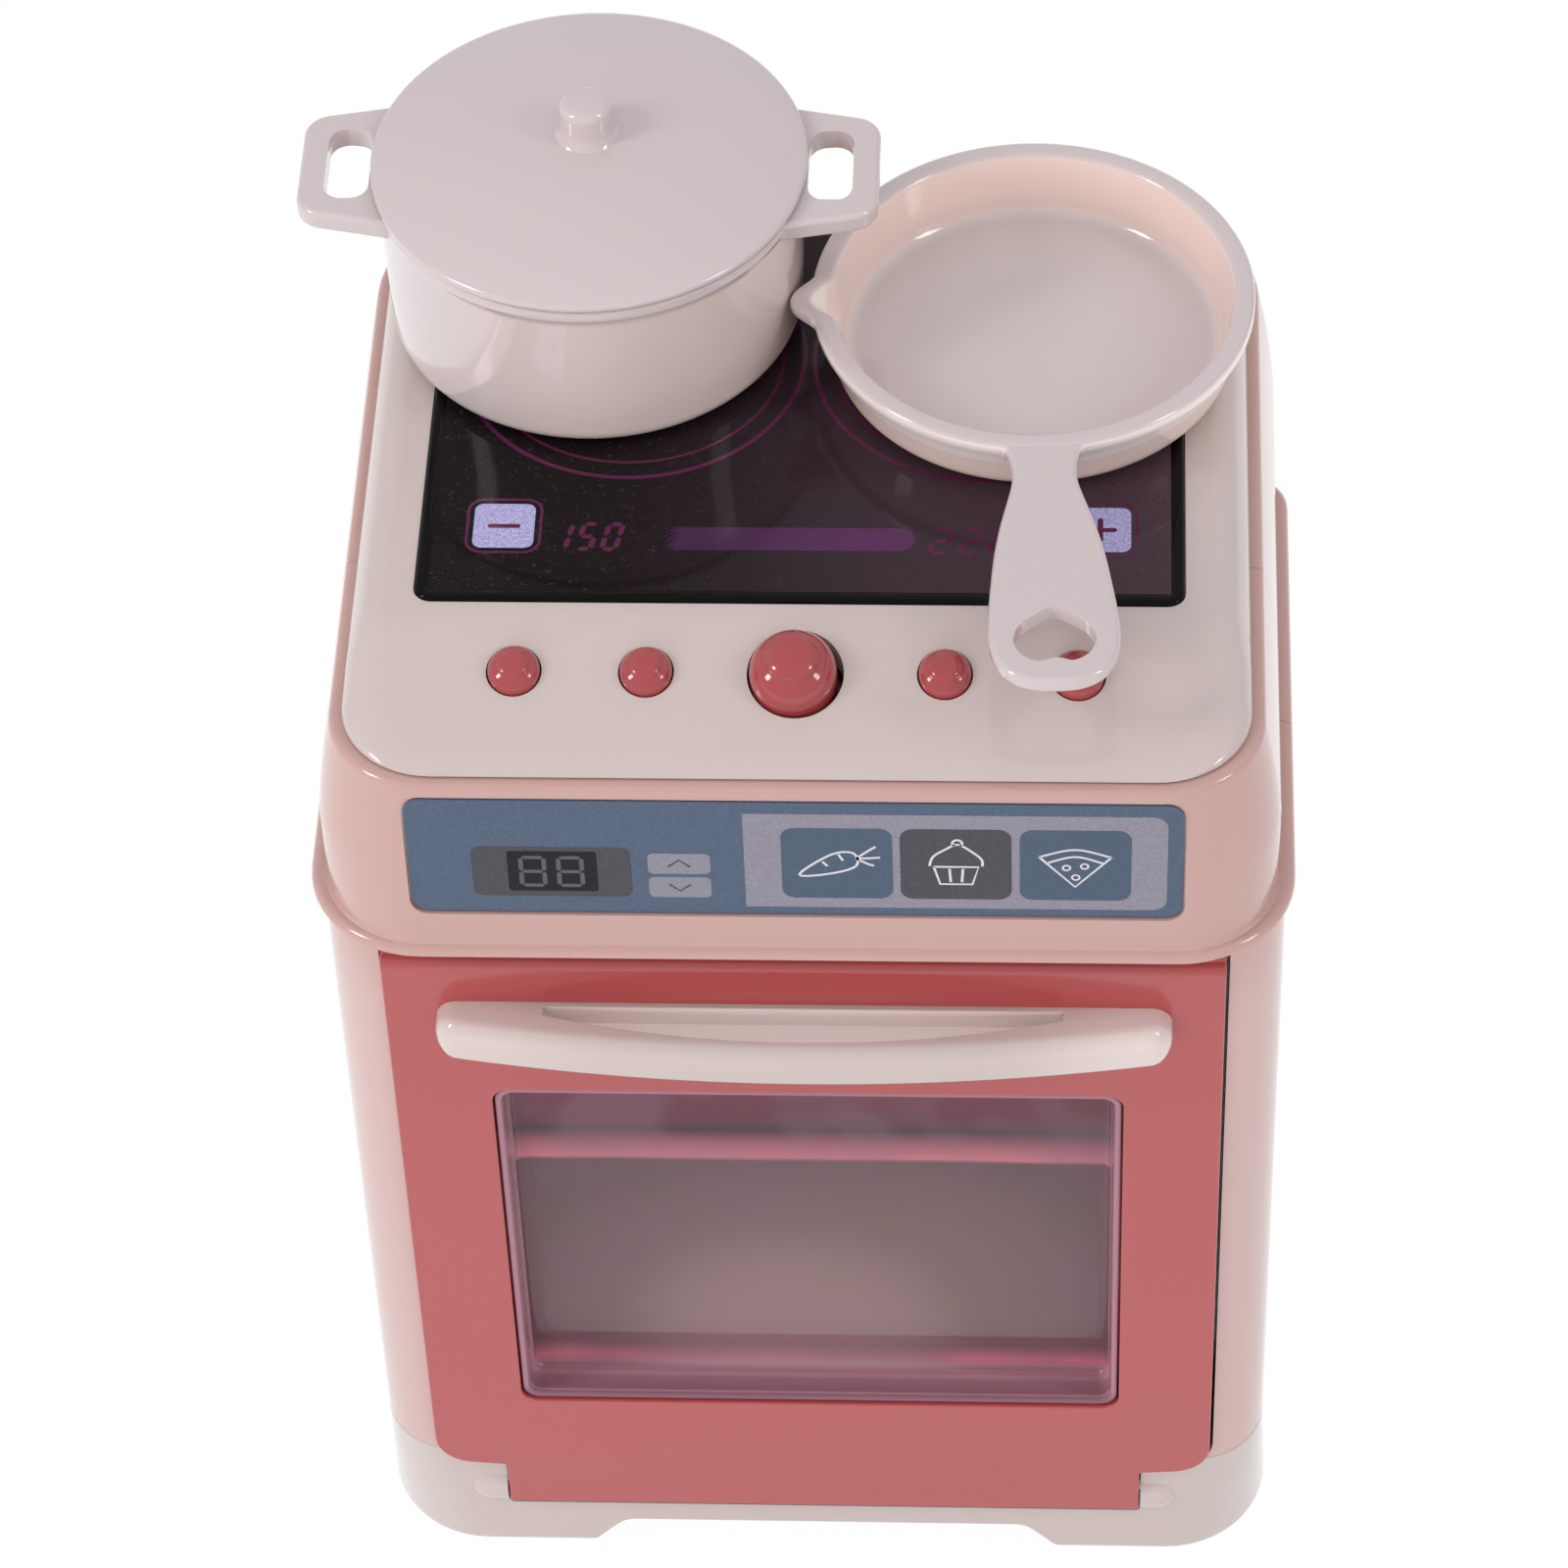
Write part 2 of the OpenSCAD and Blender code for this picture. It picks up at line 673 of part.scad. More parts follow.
module control_strip() color(slate) {
  translate([0, head_front + 0.9, 0]) rotate([90, 0, 0]) linear_extrude(0.5)
    face_outline(strip_w, lip_z + strip_up, strip_h, strip_r - 0.2);
}

// ---- buttons ----

board_post_at = [[-34.6, 0], [34.6, 0], [-12.4, 0], [12.4, 0]];

// Side of a button's top, as parts of its radius and of its height
cap_side = [[1.045, 0], [1.03, 0.14], [0.985, 0.29], [0.91, 0.455], [0.8, 0.62], [0.69, 0.72], [0.61, 0.76],
  [0.585, 0.86], [0.52, 0.94], [0.39, 0.985], [0, 1]];

// Upright button whose domed top, with a raised middle, follows the strip's slope
module button(x, y, r, h) color(coral) {
  translate([x, y, 0]) {
    translate([0, 0, stem_z]) cylinder(r = 1.8, h = flange_z - stem_z + eps);
    translate([0, 0, flange_z]) cylinder(r = r + flange_out, h = flange_t);
    intersection() {
      translate([0, 0, flange_z + flange_t / 2]) cylinder(r = r, h = 30);
      translate([0, 0, face_z(y)]) rotate([atan(slope), 0, 0]) rotate_extrude() polygon(concat(
        [[0, -16], [r + 8, -16], [r + 8, 0]], [for (p = cap_side) [p[0] * r, p[1] * h]]));
    }
  }
}

// Rubber pads that push the buttons back
module button_pads() color([0.75, 0.74, 0.70]) {
  translate([0, button_y, board_z + board_t]) {
    for (x = concat(button_x, [0])) translate([x, 0, 0]) {
      cylinder(r1 = 3.6, r2 = 2.6, h = pad_h);
    }
  }
}

module button_board() color(board_green) {
  difference() {
    plan_slab(board_z, board_t, 2 * outer_x + pad_board_d, button_y - pad_board_d / 2,
      button_y + pad_board_d / 2, 1, 1);
    for (p = board_post_at) translate([p[0], button_y + p[1], board_z - 1]) cylinder(r = pass_r, h = 4);
  }
}

module button_board_screws() color(steel) {
  for (p = board_post_at) translate([p[0], button_y + p[1], board_z]) mirror([0, 0, 1])
    screw(5, screw_r, 2.2);
}

// ---- oven ----

// Open-fronted box inside the body
module oven_liner() color([0.55, 0.48, 0.50]) {
  difference() {
    union() {
      translate([-oven_w / 2 - liner_t, oven_front, oven_z - liner_t])
        cube([oven_w + 2 * liner_t, oven_d + liner_t, oven_h + 2 * liner_t]);
      // flange against the bulkhead
      translate([-oven_w / 2 - 6, oven_front, oven_z - 6]) cube([oven_w + 12, liner_t, oven_h + 12]);
      // posts that carry the main board
      for (p = main_post_at) translate([p[0], oven_front + p[1], oven_top + liner_t - eps])
        cylinder(r = 2.6, h = 4);
    }
    translate([-oven_w / 2, oven_front - 1, oven_z]) cube([oven_w, oven_d + 1, oven_h]);
    translate([0, oven_back - 1, oven_top - 10]) rotate([-90, 0, 0]) cylinder(r = 2.6, h = 5);
    for (p = main_post_at) translate([p[0], oven_front + p[1], oven_top + liner_t + 0.5])
      cylinder(r = thread_r, h = 8);
  }
}

module oven_lamp() color([1, 0.9, 0.7]) {
  translate([0, oven_back + liner_t + 3, oven_top - 10]) rotate([90, 0, 0]) {
    cylinder(r = 3, h = 2.9);
    cylinder(r = 2.5, h = 5);
    translate([0, 0, 5]) intersection() {
      sphere(r = 2.5);
      translate([-3, -3, -eps]) cube(6);
    }
  }
}

module lamp_board() color(board_green) {
  translate([-9, oven_back + liner_t + 3, oven_top - 17]) cube([18, board_t, 14]);
  for (x = [-7, 5]) translate([x, oven_back + liner_t, oven_top - 17]) cube([2, 3 + eps, 2]);
}

// The main board's screws stand in from its edges
main_y = 8; // front edge of the main board behind the oven's front
main_screw_in = 6;
main_screw_x = main_w / 2 - main_screw_in;
main_post_at = [for (x = [-main_screw_x, main_screw_x], y =
  [main_y + main_screw_in, main_y + main_d - main_screw_in])
  [x, y]];
main_z = oven_top + liner_t + 4;

module main_board() color(board_green) {
  difference() {
    translate([-main_w / 2, oven_front + main_y, main_z]) cube([main_w, main_d, board_t]);
    for (p = main_post_at) translate([p[0], oven_front + p[1], main_z - 1]) cylinder(r = pass_r, h = 4);
  }
}

module main_chip() color(black) {
  part_y = oven_front + main_y + main_d / 2;
  translate([-chip_l / 2, part_y - chip_w / 2, main_z + board_t]) cube([chip_l, chip_w, 2]);
  for (s = [-1, 1]) translate([s * (chip_l / 2 + 4 * cap_r), part_y, main_z + board_t])
    cylinder(r = cap_r, h = cap_h);
  translate([-plug_l - 6, oven_front + main_y + 4, main_z + board_t]) cube([plug_l, plug_w, 3]);
}

module main_board_screws() color(steel) {
  for (p = main_post_at) translate([p[0], oven_front + p[1], main_z + board_t]) screw(5, screw_r, 2.2);
}

// ---- power and sound ----

module speaker() color([0.15, 0.15, 0.15]) {
  translate([speaker_x, back_y - wall, speaker_z]) rotate([90, 0, 0]) difference() {
    union() {
      cylinder(r = speaker_r, h = 3);
      translate([0, 0, 3 - eps]) cylinder(r1 = speaker_r - 1.6, r2 = 9, h = 3);
    }
    translate([0, 0, -eps]) cylinder(r1 = speaker_r - 2, r2 = 5, h = 3.5);
  }
}

module speaker_magnet() color(steel) {
  translate([speaker_x, back_y - wall - 6, speaker_z]) rotate([90, 0, 0]) cylinder(r = 8, h = 4);
}

module speaker_screws() color(steel) {
  for (s = [-1, 1]) translate([speaker_x, back_y - wall - 3, speaker_z + s * (speaker_r + 2.3)])
    rotate([90, 0, 0]) screw(2.5);
}

// Tray behind the battery cover, with a flange against the back wall and a boss for the cover's screw
module battery_box() color([0.25, 0.24, 0.25]) {
  difference() {
    union() {
      translate([-box_w / 2, box_front, box_z]) cube([box_w, box_d, box_h]);
      translate([-cover_w / 2 - 3, box_back - 1.6, cover_z - 3]) cube([cover_w + 6, 1.6, cover_h + 6]);
      translate([-4, box_back - 10, box_z + box_h - eps]) cube([8, 10, 8.4]);
    }
    translate([-box_w / 2 + wall, box_front + wall, box_z + wall])
      cube([box_w - 2 * wall, box_d, box_h - 2 * wall]);
    translate([0, box_back - 8.5, cover_screw_z]) rotate([-90, 0, 0]) cylinder(r = screw_r + fit, h = 10);
  }
}

function cell_x(i) = (i - (cell_n - 1) / 2) * cell_pitch;
cell_y = box_front + wall + cell_r + 0.2;
cell_z = box_z + wall + 1.2;

module batteries() color([0.2, 0.3, 0.5]) {
  for (i = [0:cell_n - 1]) translate([cell_x(i), cell_y, cell_z]) {
    cylinder(r = cell_r, h = cell_l - 1.2);
    translate([0, 0, cell_l - 1.2 - eps]) cylinder(r = 2.7, h = 1.2 + eps);
  }
}

module battery_springs() color(steel) {
  for (i = [0:cell_n - 1]) translate([cell_x(i), cell_y, box_z + wall]) cylinder(r1 = 5, r2 = 3, h = 1.15);
}

module battery_plates() color(steel) {
  for (i = [0:cell_n - 1]) translate([cell_x(i) - contact_w / 2, cell_y - contact_w / 2, cell_z + cell_l])
    cube([contact_w, 0.75 * contact_w, box_z + box_h - wall - cell_z - cell_l]);
}

// Cover that lifts off the back
module battery_cover() color(pink) {
  difference() {
    translate([-cover_w / 2, back_y - wall + seat, cover_z]) cube([cover_w, wall - seat, cover_h]);
    translate([0, back_y - wall - 1, cover_screw_z]) rotate([-90, 0, 0]) {
      cylinder(r = pass_r, h = wall + 2);
      translate([0, 0, wall]) cylinder(r = screw_head_r + 0.2, h = wall);
    }
    for (k = [0:3]) translate([-9 + k, back_y - 0.6, cover_z + 8 + 3 * k]) cube([18 - 2 * k, 1, 1.2]);
  }
}

module cover_screw() color(steel) {
  translate([0, back_y - 1, cover_screw_z]) rotate([-90, 0, 0]) screw(7, screw_r, screw_head_r, 1);
}

// ---- door ----

module door_outline() {
  face_outline(door_w, door_bottom, door_top - door_bottom, door_r);
  translate([-tab_w / 2, tab_bottom]) square([tab_w, 40]);
}

// Coral outer shell with the hinge tab
module door_shell() color(coral) {
  difference() {
    face_slab(door_front, shell_d) door_outline();
    // hollow behind the face, above the solid hinge tab
    face_slab(door_front + wall, shell_d)
      face_outline(door_w - 2 * wall, door_bottom + wall, door_top - door_bottom - 2 * wall, door_r - wall);
    face_slab(door_front - 1, wall + 2) face_outline(window_w, window_z, window_h, window_r);
    for (s = [-1, 1]) translate([s * (tab_w / 2 + 1), hinge_y, hinge_z]) rotate([0, -s * 90, 0])
      cylinder(r = pin_r + fit, h = pin_l);
    // rounded lower edge of the tab
    difference() {
      translate([-tab_w, door_front - 1, tab_bottom - 1]) cube([2 * tab_w, 2.2, 2.2]);
      translate([-tab_w - 1, door_front + 1.2, tab_bottom + 1.2]) rotate([0, 90, 0])
        cylinder(r = 1.2, h = 2 * tab_w + 2);
    }
    // holes for the handle's screws
    for (s = [-1, 1]) translate([s * (handle_w / 2 - 8), door_front - 1, handle_z + handle_h / 2])
      rotate([-90, 0, 0]) cylinder(r = pass_r, h = wall + 2);
  }
  // posts for the screws of the inner frame
  for (p = door_screw_at) translate([p[0], shell_back, p[1]]) rotate([90, 0, 0])
    ring(3, thread_r, shell_d - wall + eps);
}

door_screw_x = door_w / 2 - 8.2;
door_screw_at = [for (x = [-door_screw_x, door_screw_x], z =
  [door_bottom + 11.6, window_z + window_h + 8.4]) [x, z]];

// Frame that closes the back of the door and holds the window tray
module door_inner_frame() color(coral) {
  difference() {
    face_slab(shell_back, frame_d) face_outline(door_w, door_bottom, door_top - door_bottom, door_r);
    // seat of the tray
    face_slab(shell_back - 1, tray_back - shell_back + 1 + clear)
      face_outline(window_w + 1, window_z - 0.5, window_h + 1, window_r);
    face_slab(shell_back - 1, frame_d + 2) face_outline(window_w - 2 * window_taper - 3, view_z, view_h,
      window_r);
    for (p = door_screw_at) translate([p[0], door_back + 1, p[1]]) rotate([90, 0, 0]) {
      cylinder(r = pass_r, h = 12);
      cylinder(r = screw_head_r + 0.3, h = 2.6);
    }
  }
}

module door_screws() color(steel) {
  for (p = door_screw_at) translate([p[0], door_back - 1.6, p[1]]) rotate([-90, 0, 0]) screw(6);
}

// Smoky tray let into the door
module window_pane() color(smoke) {
  t = 1.4;
  difference() {
    union() {
      hull() {
        face_slab(door_front + wall + seat, 0.1) face_outline(window_w, window_z, window_h, window_r, $fn =
          hull_fn);
        face_slab(tray_back - 0.1, 0.1) face_outline(window_w - 2 * window_taper, window_z + window_taper,
          window_h - 2 * window_taper, window_r, $fn = hull_fn);
      }
      face_slab(door_front + wall + seat, 1.2) face_outline(window_w + 6, window_z - 3, window_h + 6,
        window_r + 2);
    }
    hull() {
      face_slab(door_front + wall - 0.5, 0.1) face_outline(window_w - 2 * t, window_z + t,
        window_h - 2 * t, window_r, $fn = hull_fn);
      face_slab(tray_back - t - 0.1, 0.1) face_outline(window_w - 2 * window_taper - 2 * t,
        window_z + window_taper + t,
        window_h - 2 * window_taper - 2 * t, window_r, $fn = hull_fn);
    }
  }
}

// ---- door handle ----

// Plan of a bowed bar: straight at the door, an arc in front between x = -half and half
function bow(half, end, mid, n = 24) = [for (i = [0:n]) let (x = -half + 2 * half * i / n)
  [x, -(end + (mid - end) * (1 - pow(x / half, 2)))]];

// Cream handle with a finger pocket that opens upwards
module door_handle() color(cream) {
  half = handle_w / 2;
  translate([0, door_front, handle_z]) difference() {
    union() {
      linear_extrude(handle_h) difference() {
        polygon(concat(bow(half, handle_end, handle_mid), [[half, 0], [-half, 0]]));
        for (s = [-1, 1]) translate([s * half, -handle_end - 1]) rotate(s > 0 ? 90 : 0) difference() {
          translate([-eps - 3, -eps - 3]) square([6.5, 6.5]);
          translate([3.5, 3.5]) circle(3.5);
          translate([-3, 3.5]) square([7, 7]);
          translate([3.5, -3]) square([7, 7]);
        }
      }
    }
    translate([0, 0, handle_h - pocket_h]) linear_extrude(pocket_h + 1)
      polygon(concat(bow(pocket_w / 2, 2.6, handle_mid - 3.2), [[pocket_w / 2, -1], [-pocket_w / 2, -1]]));
    for (s = [-1, 1]) translate([s * (half - 8), -handle_end + 1.5, handle_h / 2]) rotate([-90, 0, 0])
      cylinder(r = thread_r, h = handle_end);
  }
}

module handle_screws() color(steel) {
  for (s = [-1, 1]) translate([s * (handle_w / 2 - 8), door_front + wall, handle_z + handle_h / 2])
    rotate([-90, 0, 0]) screw(5.5);
}

// ---- cookware ----

// Points of a quarter turn of radius r about (x, z), from angle a to angle b
function arc(x, z, r, a, b, n = 8) = [for (i = [0:n]) let (t = a + (b - a) * i / n)
  [x + r * cos(t), z + r * sin(t)]];

// Saucepan with its two loop handles
module saucepan() color(cream) {
  translate([-pot_x, pot_y, pot_z]) difference() {
    union() {
      rotate_extrude() polygon(concat([[0, 0]], arc(pot_r - 0.6 - 3, 3, 3, -90, 0),
        [[pot_r, pot_h - 2.4], [pot_r + 0.5, pot_h - 2], [pot_r + 0.5, pot_h], [0, pot_h]]));
      for (s = [0, 180]) rotate(s) translate([0, 0, pot_h - loop_t - loop_drop]) linear_extrude(loop_t)
        difference() {
        loop_outline();
        hull() for (x = [pot_r + 4.2, loop_reach - loop_bar - 3.2], y = [-1, 1])
          translate([x, y * (loop_gap / 2 - 3.2)]) circle(3.2);
      }
    }
    translate([0, 0, ware_t]) cylinder(r = pot_r - ware_t, h = pot_h);
  }
}

module loop_outline() {
  hull() for (s = [-1, 1]) {
    translate([loop_reach - 4.7, s * 7.6]) circle(4.7);
    translate([pot_r - 4, s * 14.1 - 0.5]) square([1, 1]);
  }
}

// Crowned lid with its moulded knob
module saucepan_lid() color(cream) {
  crown_r = (lid_r * lid_r + lid_crown * lid_crown) / (2 * lid_crown);
  half_angle = asin(lid_r / crown_r);
  top = [for (i = [0:12]) let (a = half_angle * (1 - i / 12))
    [crown_r * sin(a), 1.4 + crown_r * cos(a) - crown_r + lid_crown]];
  under = [for (i = [0:12]) let (a = half_angle * i / 12)
    [crown_r * sin(a), crown_r * cos(a) - crown_r + lid_crown]];
  translate([-pot_x, pot_y, lid_z]) {
    rotate_extrude() difference() {
      polygon(concat([[lid_r, 0]], top, [[0, 0]]));
      translate([-eps, -eps]) polygon(concat([[0, 0]], [for (p = under) [p[0] * 0.9, p[1] * 0.9]],
        [[0.9 * lid_r, 0]]));
    }
    translate([0, 0, -2]) ring(pot_r - ware_t - 0.4, pot_r - ware_t - 1.8, 2.6);
    translate([0, 0, lid_crown + 1.2]) rotate_extrude() polygon(concat([[0, 0], [knob_r + 0.3, 0]],
      arc(knob_r - 1.8, knob_h - 2, 1.8, 0, 90), [[0, knob_h]]));
  }
}

// Frying pan with a pouring lip and a flat handle that has a hole near its end
module frying_pan() color(cream) {
  neck = 5.25;
  palm = 10.4;
  translate([pan_x, pan_y, pan_z]) rotate(pan_turn) difference() {
    union() {
      rotate_extrude() polygon(concat([[0, 0]], arc(pan_r - 2 - 4, 4, 4, -90, 0),
        [[pan_r - 1.3, pan_h - 3.2], [pan_r, pan_h - 2.6], [pan_r, pan_h], [0, pan_h]]));
      translate([0, 0, pan_h - 2.8]) linear_extrude(2.8) difference() {
        union() {
          polygon([[-neck - 2.5, -pan_r + 2], [-neck, -pan_r - 2.5], [-neck - 0.6, -45], [-8.3, -55],
            [-9.6, -68], [-palm, -pan_reach + palm],
            [palm, -pan_reach + palm], [9.6, -68], [8.3, -55], [neck + 0.6, -45], [neck, -pan_r - 2.5],
              [neck + 2.5, -pan_r + 2]]);
          translate([0, -pan_reach + palm]) circle(palm);
        }
        heart_hole();
      }
      // pouring lip
      translate([-pan_r + 0.7, 0, pan_h - 4.2]) cylinder(r1 = 2, r2 = 4.2, h = 4.2);
    }
    translate([0, 0, ware_t]) rotate_extrude() polygon(concat([[0, 0]], arc(pan_r - 3.6 - 4, 4, 4, -90, 0),
      [[pan_r - 3.6, pan_h], [0, pan_h]]));
    translate([-pan_r + 1, 0, pan_h - 2.4]) cylinder(r1 = 1.2, r2 = 2.8, h = 2.4 + eps);
    translate([-pan_r + 1, -1.2, pan_h - 1.6]) cube([6, 2.4, 3]);
  }
}

// Heart-shaped hole with its tip towards the pan
module heart_hole() {
  translate([0, -pan_reach + 9]) {
    for (s = [-1, 1]) translate([s * 2.4, 0]) circle(4.2);
    polygon([[-5.9, 2.3], [0, 7.5], [5.9, 2.3], [2.4, -1], [-2.4, -1]]);
  }
}

base_shell();
bottom_cover();
front_shell();
rear_shell();
top_panel();
hob_plate();
control_strip();
oven_liner();
oven_lamp();
lamp_board();
hinge_pins();
door_shell();
door_inner_frame();
window_pane();
door_handle();
door_screws();
handle_screws();
button(-outer_x, small_y, small_r, small_h);  // button_left_outer
button(-inner_x, small_y, small_r, small_h);  // button_left_inner
button(big_off, big_y, big_r, big_h);  // button_middle
button(inner_x, small_y, small_r, small_h);  // button_right_inner
button(outer_x, small_y, small_r, small_h);  // button_right_outer
button_pads();
button_board();
button_board_screws();
main_board();
main_chip();
main_board_screws();
speaker();
speaker_magnet();
speaker_screws();
battery_box();
batteries();
battery_springs();
battery_plates();
battery_cover();
cover_screw();
shell_screws();
base_screws();
saucepan();
saucepan_lid();
frying_pan();
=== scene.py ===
"""Toy oven with a two-ring hob, push buttons, a drop-down door and toy cookware.

Sizes in the code are millimetres; every mesh is written in metres, in the frame of the
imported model.
"""

import math
from contextlib import contextmanager

import bmesh
import bpy
from mathutils import Matrix, Vector


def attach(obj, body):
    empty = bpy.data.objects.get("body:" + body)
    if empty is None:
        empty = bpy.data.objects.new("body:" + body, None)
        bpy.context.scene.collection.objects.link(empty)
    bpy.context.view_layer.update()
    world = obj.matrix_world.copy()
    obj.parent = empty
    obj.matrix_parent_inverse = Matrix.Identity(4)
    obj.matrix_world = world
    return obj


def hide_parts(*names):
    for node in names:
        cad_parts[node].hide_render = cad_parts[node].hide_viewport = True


bl_info = {
    "name": "Toy oven",
    "version": (1, 0, 0),
    "blender": (4, 5, 0),
    "location": "3D View > Sidebar > Toy oven",
    "description": "Builds a toy oven, its cookware and a studio round the packed frame",
    "category": "Add Mesh",
}

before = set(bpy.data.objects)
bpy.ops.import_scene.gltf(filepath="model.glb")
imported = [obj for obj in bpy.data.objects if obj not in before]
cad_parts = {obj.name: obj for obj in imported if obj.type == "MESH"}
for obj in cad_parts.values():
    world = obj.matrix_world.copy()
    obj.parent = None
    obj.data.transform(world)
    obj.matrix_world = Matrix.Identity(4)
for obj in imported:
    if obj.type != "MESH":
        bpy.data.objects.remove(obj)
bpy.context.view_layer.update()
MM = 0.001

# Shared by the pieces, in millimetres
GROUND_SEAM = 29.0  # the body stands on the base here
FRONT, BACK = -64.0, 64.0  # faces of the body
SEAM_Y = -21.5  # between the front and the rear shell
LIP_Z, HEAD_TOP, PANEL_Z = 178.0, 217.2, 225.4
HEAD_FRONT, DOOR_FRONT = -72.3, -65.5
HOB_FIELD, HOB_TOP = 225.8, 226.0  # printed field and rim of the hob
RING_X, RING_Y = 29.5, 18.5  # middle of the right ring
TILE_X = 48.7  # middle of the right sign
BUTTON_Y = -51.3
FALL = 0.27  # slope of the panel's face in front of the hob
POT_X, POT_Y = -36.2, 31.4  # middle of the saucepan
PAN_X, PAN_Y, PAN_TURN = 37.3, 20.7, 3.1  # middle of the frying pan, and its turn
SHELL_SCREWS = [(x, z) for x in (-66, 66) for z in (60, 150)]
BASE_SCREWS = [(x, y) for x in (-60, 60) for y in (-30, 36)]


def tone(code):
    """A colour from its six hexadecimal digits, as linear light."""
    parts = [int(code[i : i + 2], 16) / 255 for i in (0, 2, 4)]
    return tuple(p / 12.92 if p <= 0.04045 else ((p + 0.055) / 1.055) ** 2.4 for p in parts)


# ---------------------------------------------------------------- finishes


class Value:
    """One output of a node, wrapped so that an expression on it adds Math nodes."""

    def __init__(self, finish, socket):
        self.finish, self.socket = finish, socket

    def other(self, key):
        """Another output of the same node."""
        return Value(self.finish, self.socket.node.outputs[key])

    def math(self, operation, *others):
        inputs = dict(enumerate((self, *others)))
        return self.finish.node("ShaderNodeMath", {"operation": operation}, inputs)

    def __add__(self, other):
        return self.math("ADD", other)

    def __mul__(self, other):
        return self.math("MULTIPLY", other)

    __radd__, __rmul__ = __add__, __mul__

    def __sub__(self, other):
        return self.math("SUBTRACT", other)

    def __rsub__(self, other):
        return (self * -1.0) + other

    def __truediv__(self, other):
        return self.math("DIVIDE", other)

    def __pow__(self, other):
        return self.math("POWER", other)

    def below(self, limit):
        return self.math("LESS_THAN", limit)

    def above(self, limit):
        return self.math("GREATER_THAN", limit)

    def size(self):
        return self.math("ABSOLUTE")

    def most(self, other):
        return self.math("MAXIMUM", other)

    def ramp(self, low, high):
        """0 at low, 1 at high, smooth between."""
        limits = {"Value": self, "From Min": low, "From Max": high}
        settings = {"interpolation_type": "SMOOTHSTEP"}
        return self.finish.node("ShaderNodeMapRange", settings, limits)

    def fade(self, low, high):
        """1 at low, 0 at high, smooth between."""
        return 1.0 - self.ramp(low, high)


FINISHES = {}


class Finish:
    """One procedural material on Object coordinates. Every node is made by node()."""

    def __init__(self, name):
        self.name, self.material = name, bpy.data.materials.new(name)
        self.material.use_nodes = True
        self.tree = self.material.node_tree
        self.tree.nodes.clear()
        self.place = self.node("ShaderNodeTexCoord", out="Object")

    def node(self, kind, settings=None, inputs=None, out=0):
        """Adds a node, its settings first, and gives one of its outputs."""
        made = self.tree.nodes.new(kind)
        for key, setting in (settings or {}).items():
            if key == "stops":
                ramp = made.color_ramp
                while len(ramp.elements) < len(setting):
                    ramp.elements.new(0.5)
                for element, (position, colour) in zip(ramp.elements, setting):
                    element.position, element.color = position, (*colour, 1.0)
            else:
                setattr(made, key, setting)
        for key, given in (inputs or {}).items():
            socket = made.inputs[key]
            if isinstance(given, Value):
                self.tree.links.new(given.socket, socket)
            elif isinstance(given, (tuple, list)) and len(socket.default_value) == 4:
                socket.default_value = (*given[:3], 1.0)
            else:
                socket.default_value = given
        return Value(self, made.outputs[out]) if made.outputs else None

    def axes(self):
        """x, y and z of the Object coordinates, in millimetres."""
        split = self.node("ShaderNodeSeparateXYZ", None, {0: self.place})
        return [split.other(key) * 1000.0 for key in "XYZ"]

    def noise(self, grain_mm, detail=2.0, stretch=None):
        """Noise from 0 to 1 whose features are about grain_mm across."""
        vector = self.place
        if stretch:
            inputs = {"Vector": self.place, "Scale": stretch}
            vector = self.node("ShaderNodeMapping", None, inputs)
        inputs = {"Vector": vector, "Scale": 1000.0 / grain_mm, "Detail": detail}
        return self.node("ShaderNodeTexNoise", None, inputs)

    def mix(self, factor, first, second):
        """Colour first where factor is 0, second where it is 1; digits stand for a colour."""
        first, second = (tone(c) if isinstance(c, str) else c for c in (first, second))
        inputs = {0: factor, 6: first, 7: second}
        return self.node("ShaderNodeMix", {"data_type": "RGBA"}, inputs, 2)

    def ramped(self, factor, stops):
        """Colours along factor, from pairs of a position and a colour."""
        return self.node("ShaderNodeValToRGB", {"stops": stops}, {"Fac": factor})

    def bump(self, height, depth_mm, strength=1.0):
        inputs = {"Height": height, "Distance": depth_mm * MM, "Strength": strength}
        return self.node("ShaderNodeBump", None, inputs)

    def surface(self, **inputs):
        """Ends the material in a Principled shader and lists it under its name."""
        named = {key.replace("_", " "): given for key, given in inputs.items()}
        shader = self.node("ShaderNodeBsdfPrincipled", None, named)
        self.node("ShaderNodeOutputMaterial", None, {"Surface": shader})
        FINISHES[self.name] = self.material


FLOW = (1.0, 1.0, 0.55)  # draws the clouds of the mouldings out upwards


def moulded(name, colour, rough, speck=0.02, orange=0.0008, coat=0.3, painted_light=None, **extra):
    """Glossy moulded plastic: faint flow marks, uneven gloss and a very fine orange peel.

    The painted-light argument gives pairs of a share and a colour: painted light, where the
    plastic is painted paler in place of light.
    """
    f = Finish(name)
    cloud = f.noise(38.0, 3.0, stretch=FLOW)
    fine = f.noise(0.9)
    shade = (cloud - 0.5) * 2.0 * speck + (fine - 0.5) * speck * 0.5 + 0.5
    deep = tuple(c * (1 - 2.2 * speck) for c in colour)
    pale = tuple(min(1.0, c * (1 + 2.2 * speck)) for c in colour)
    base = f.mix(shade, deep, pale)
    # Painted light: paler patches mixed over the plastic's own colour
    for share, lit_colour in painted_light(f) if painted_light else ():
        base = f.mix(share, base, lit_colour)
    f.surface(
        Base_Color=base,
        Roughness=(cloud - 0.5) * 0.05 + (fine - 0.5) * 0.02 + rough,
        Coat_Weight=coat,
        Coat_Roughness=0.04,
        Normal=f.bump(f.noise(2.2, 1.0), orange, 0.5),
        **extra,
    )


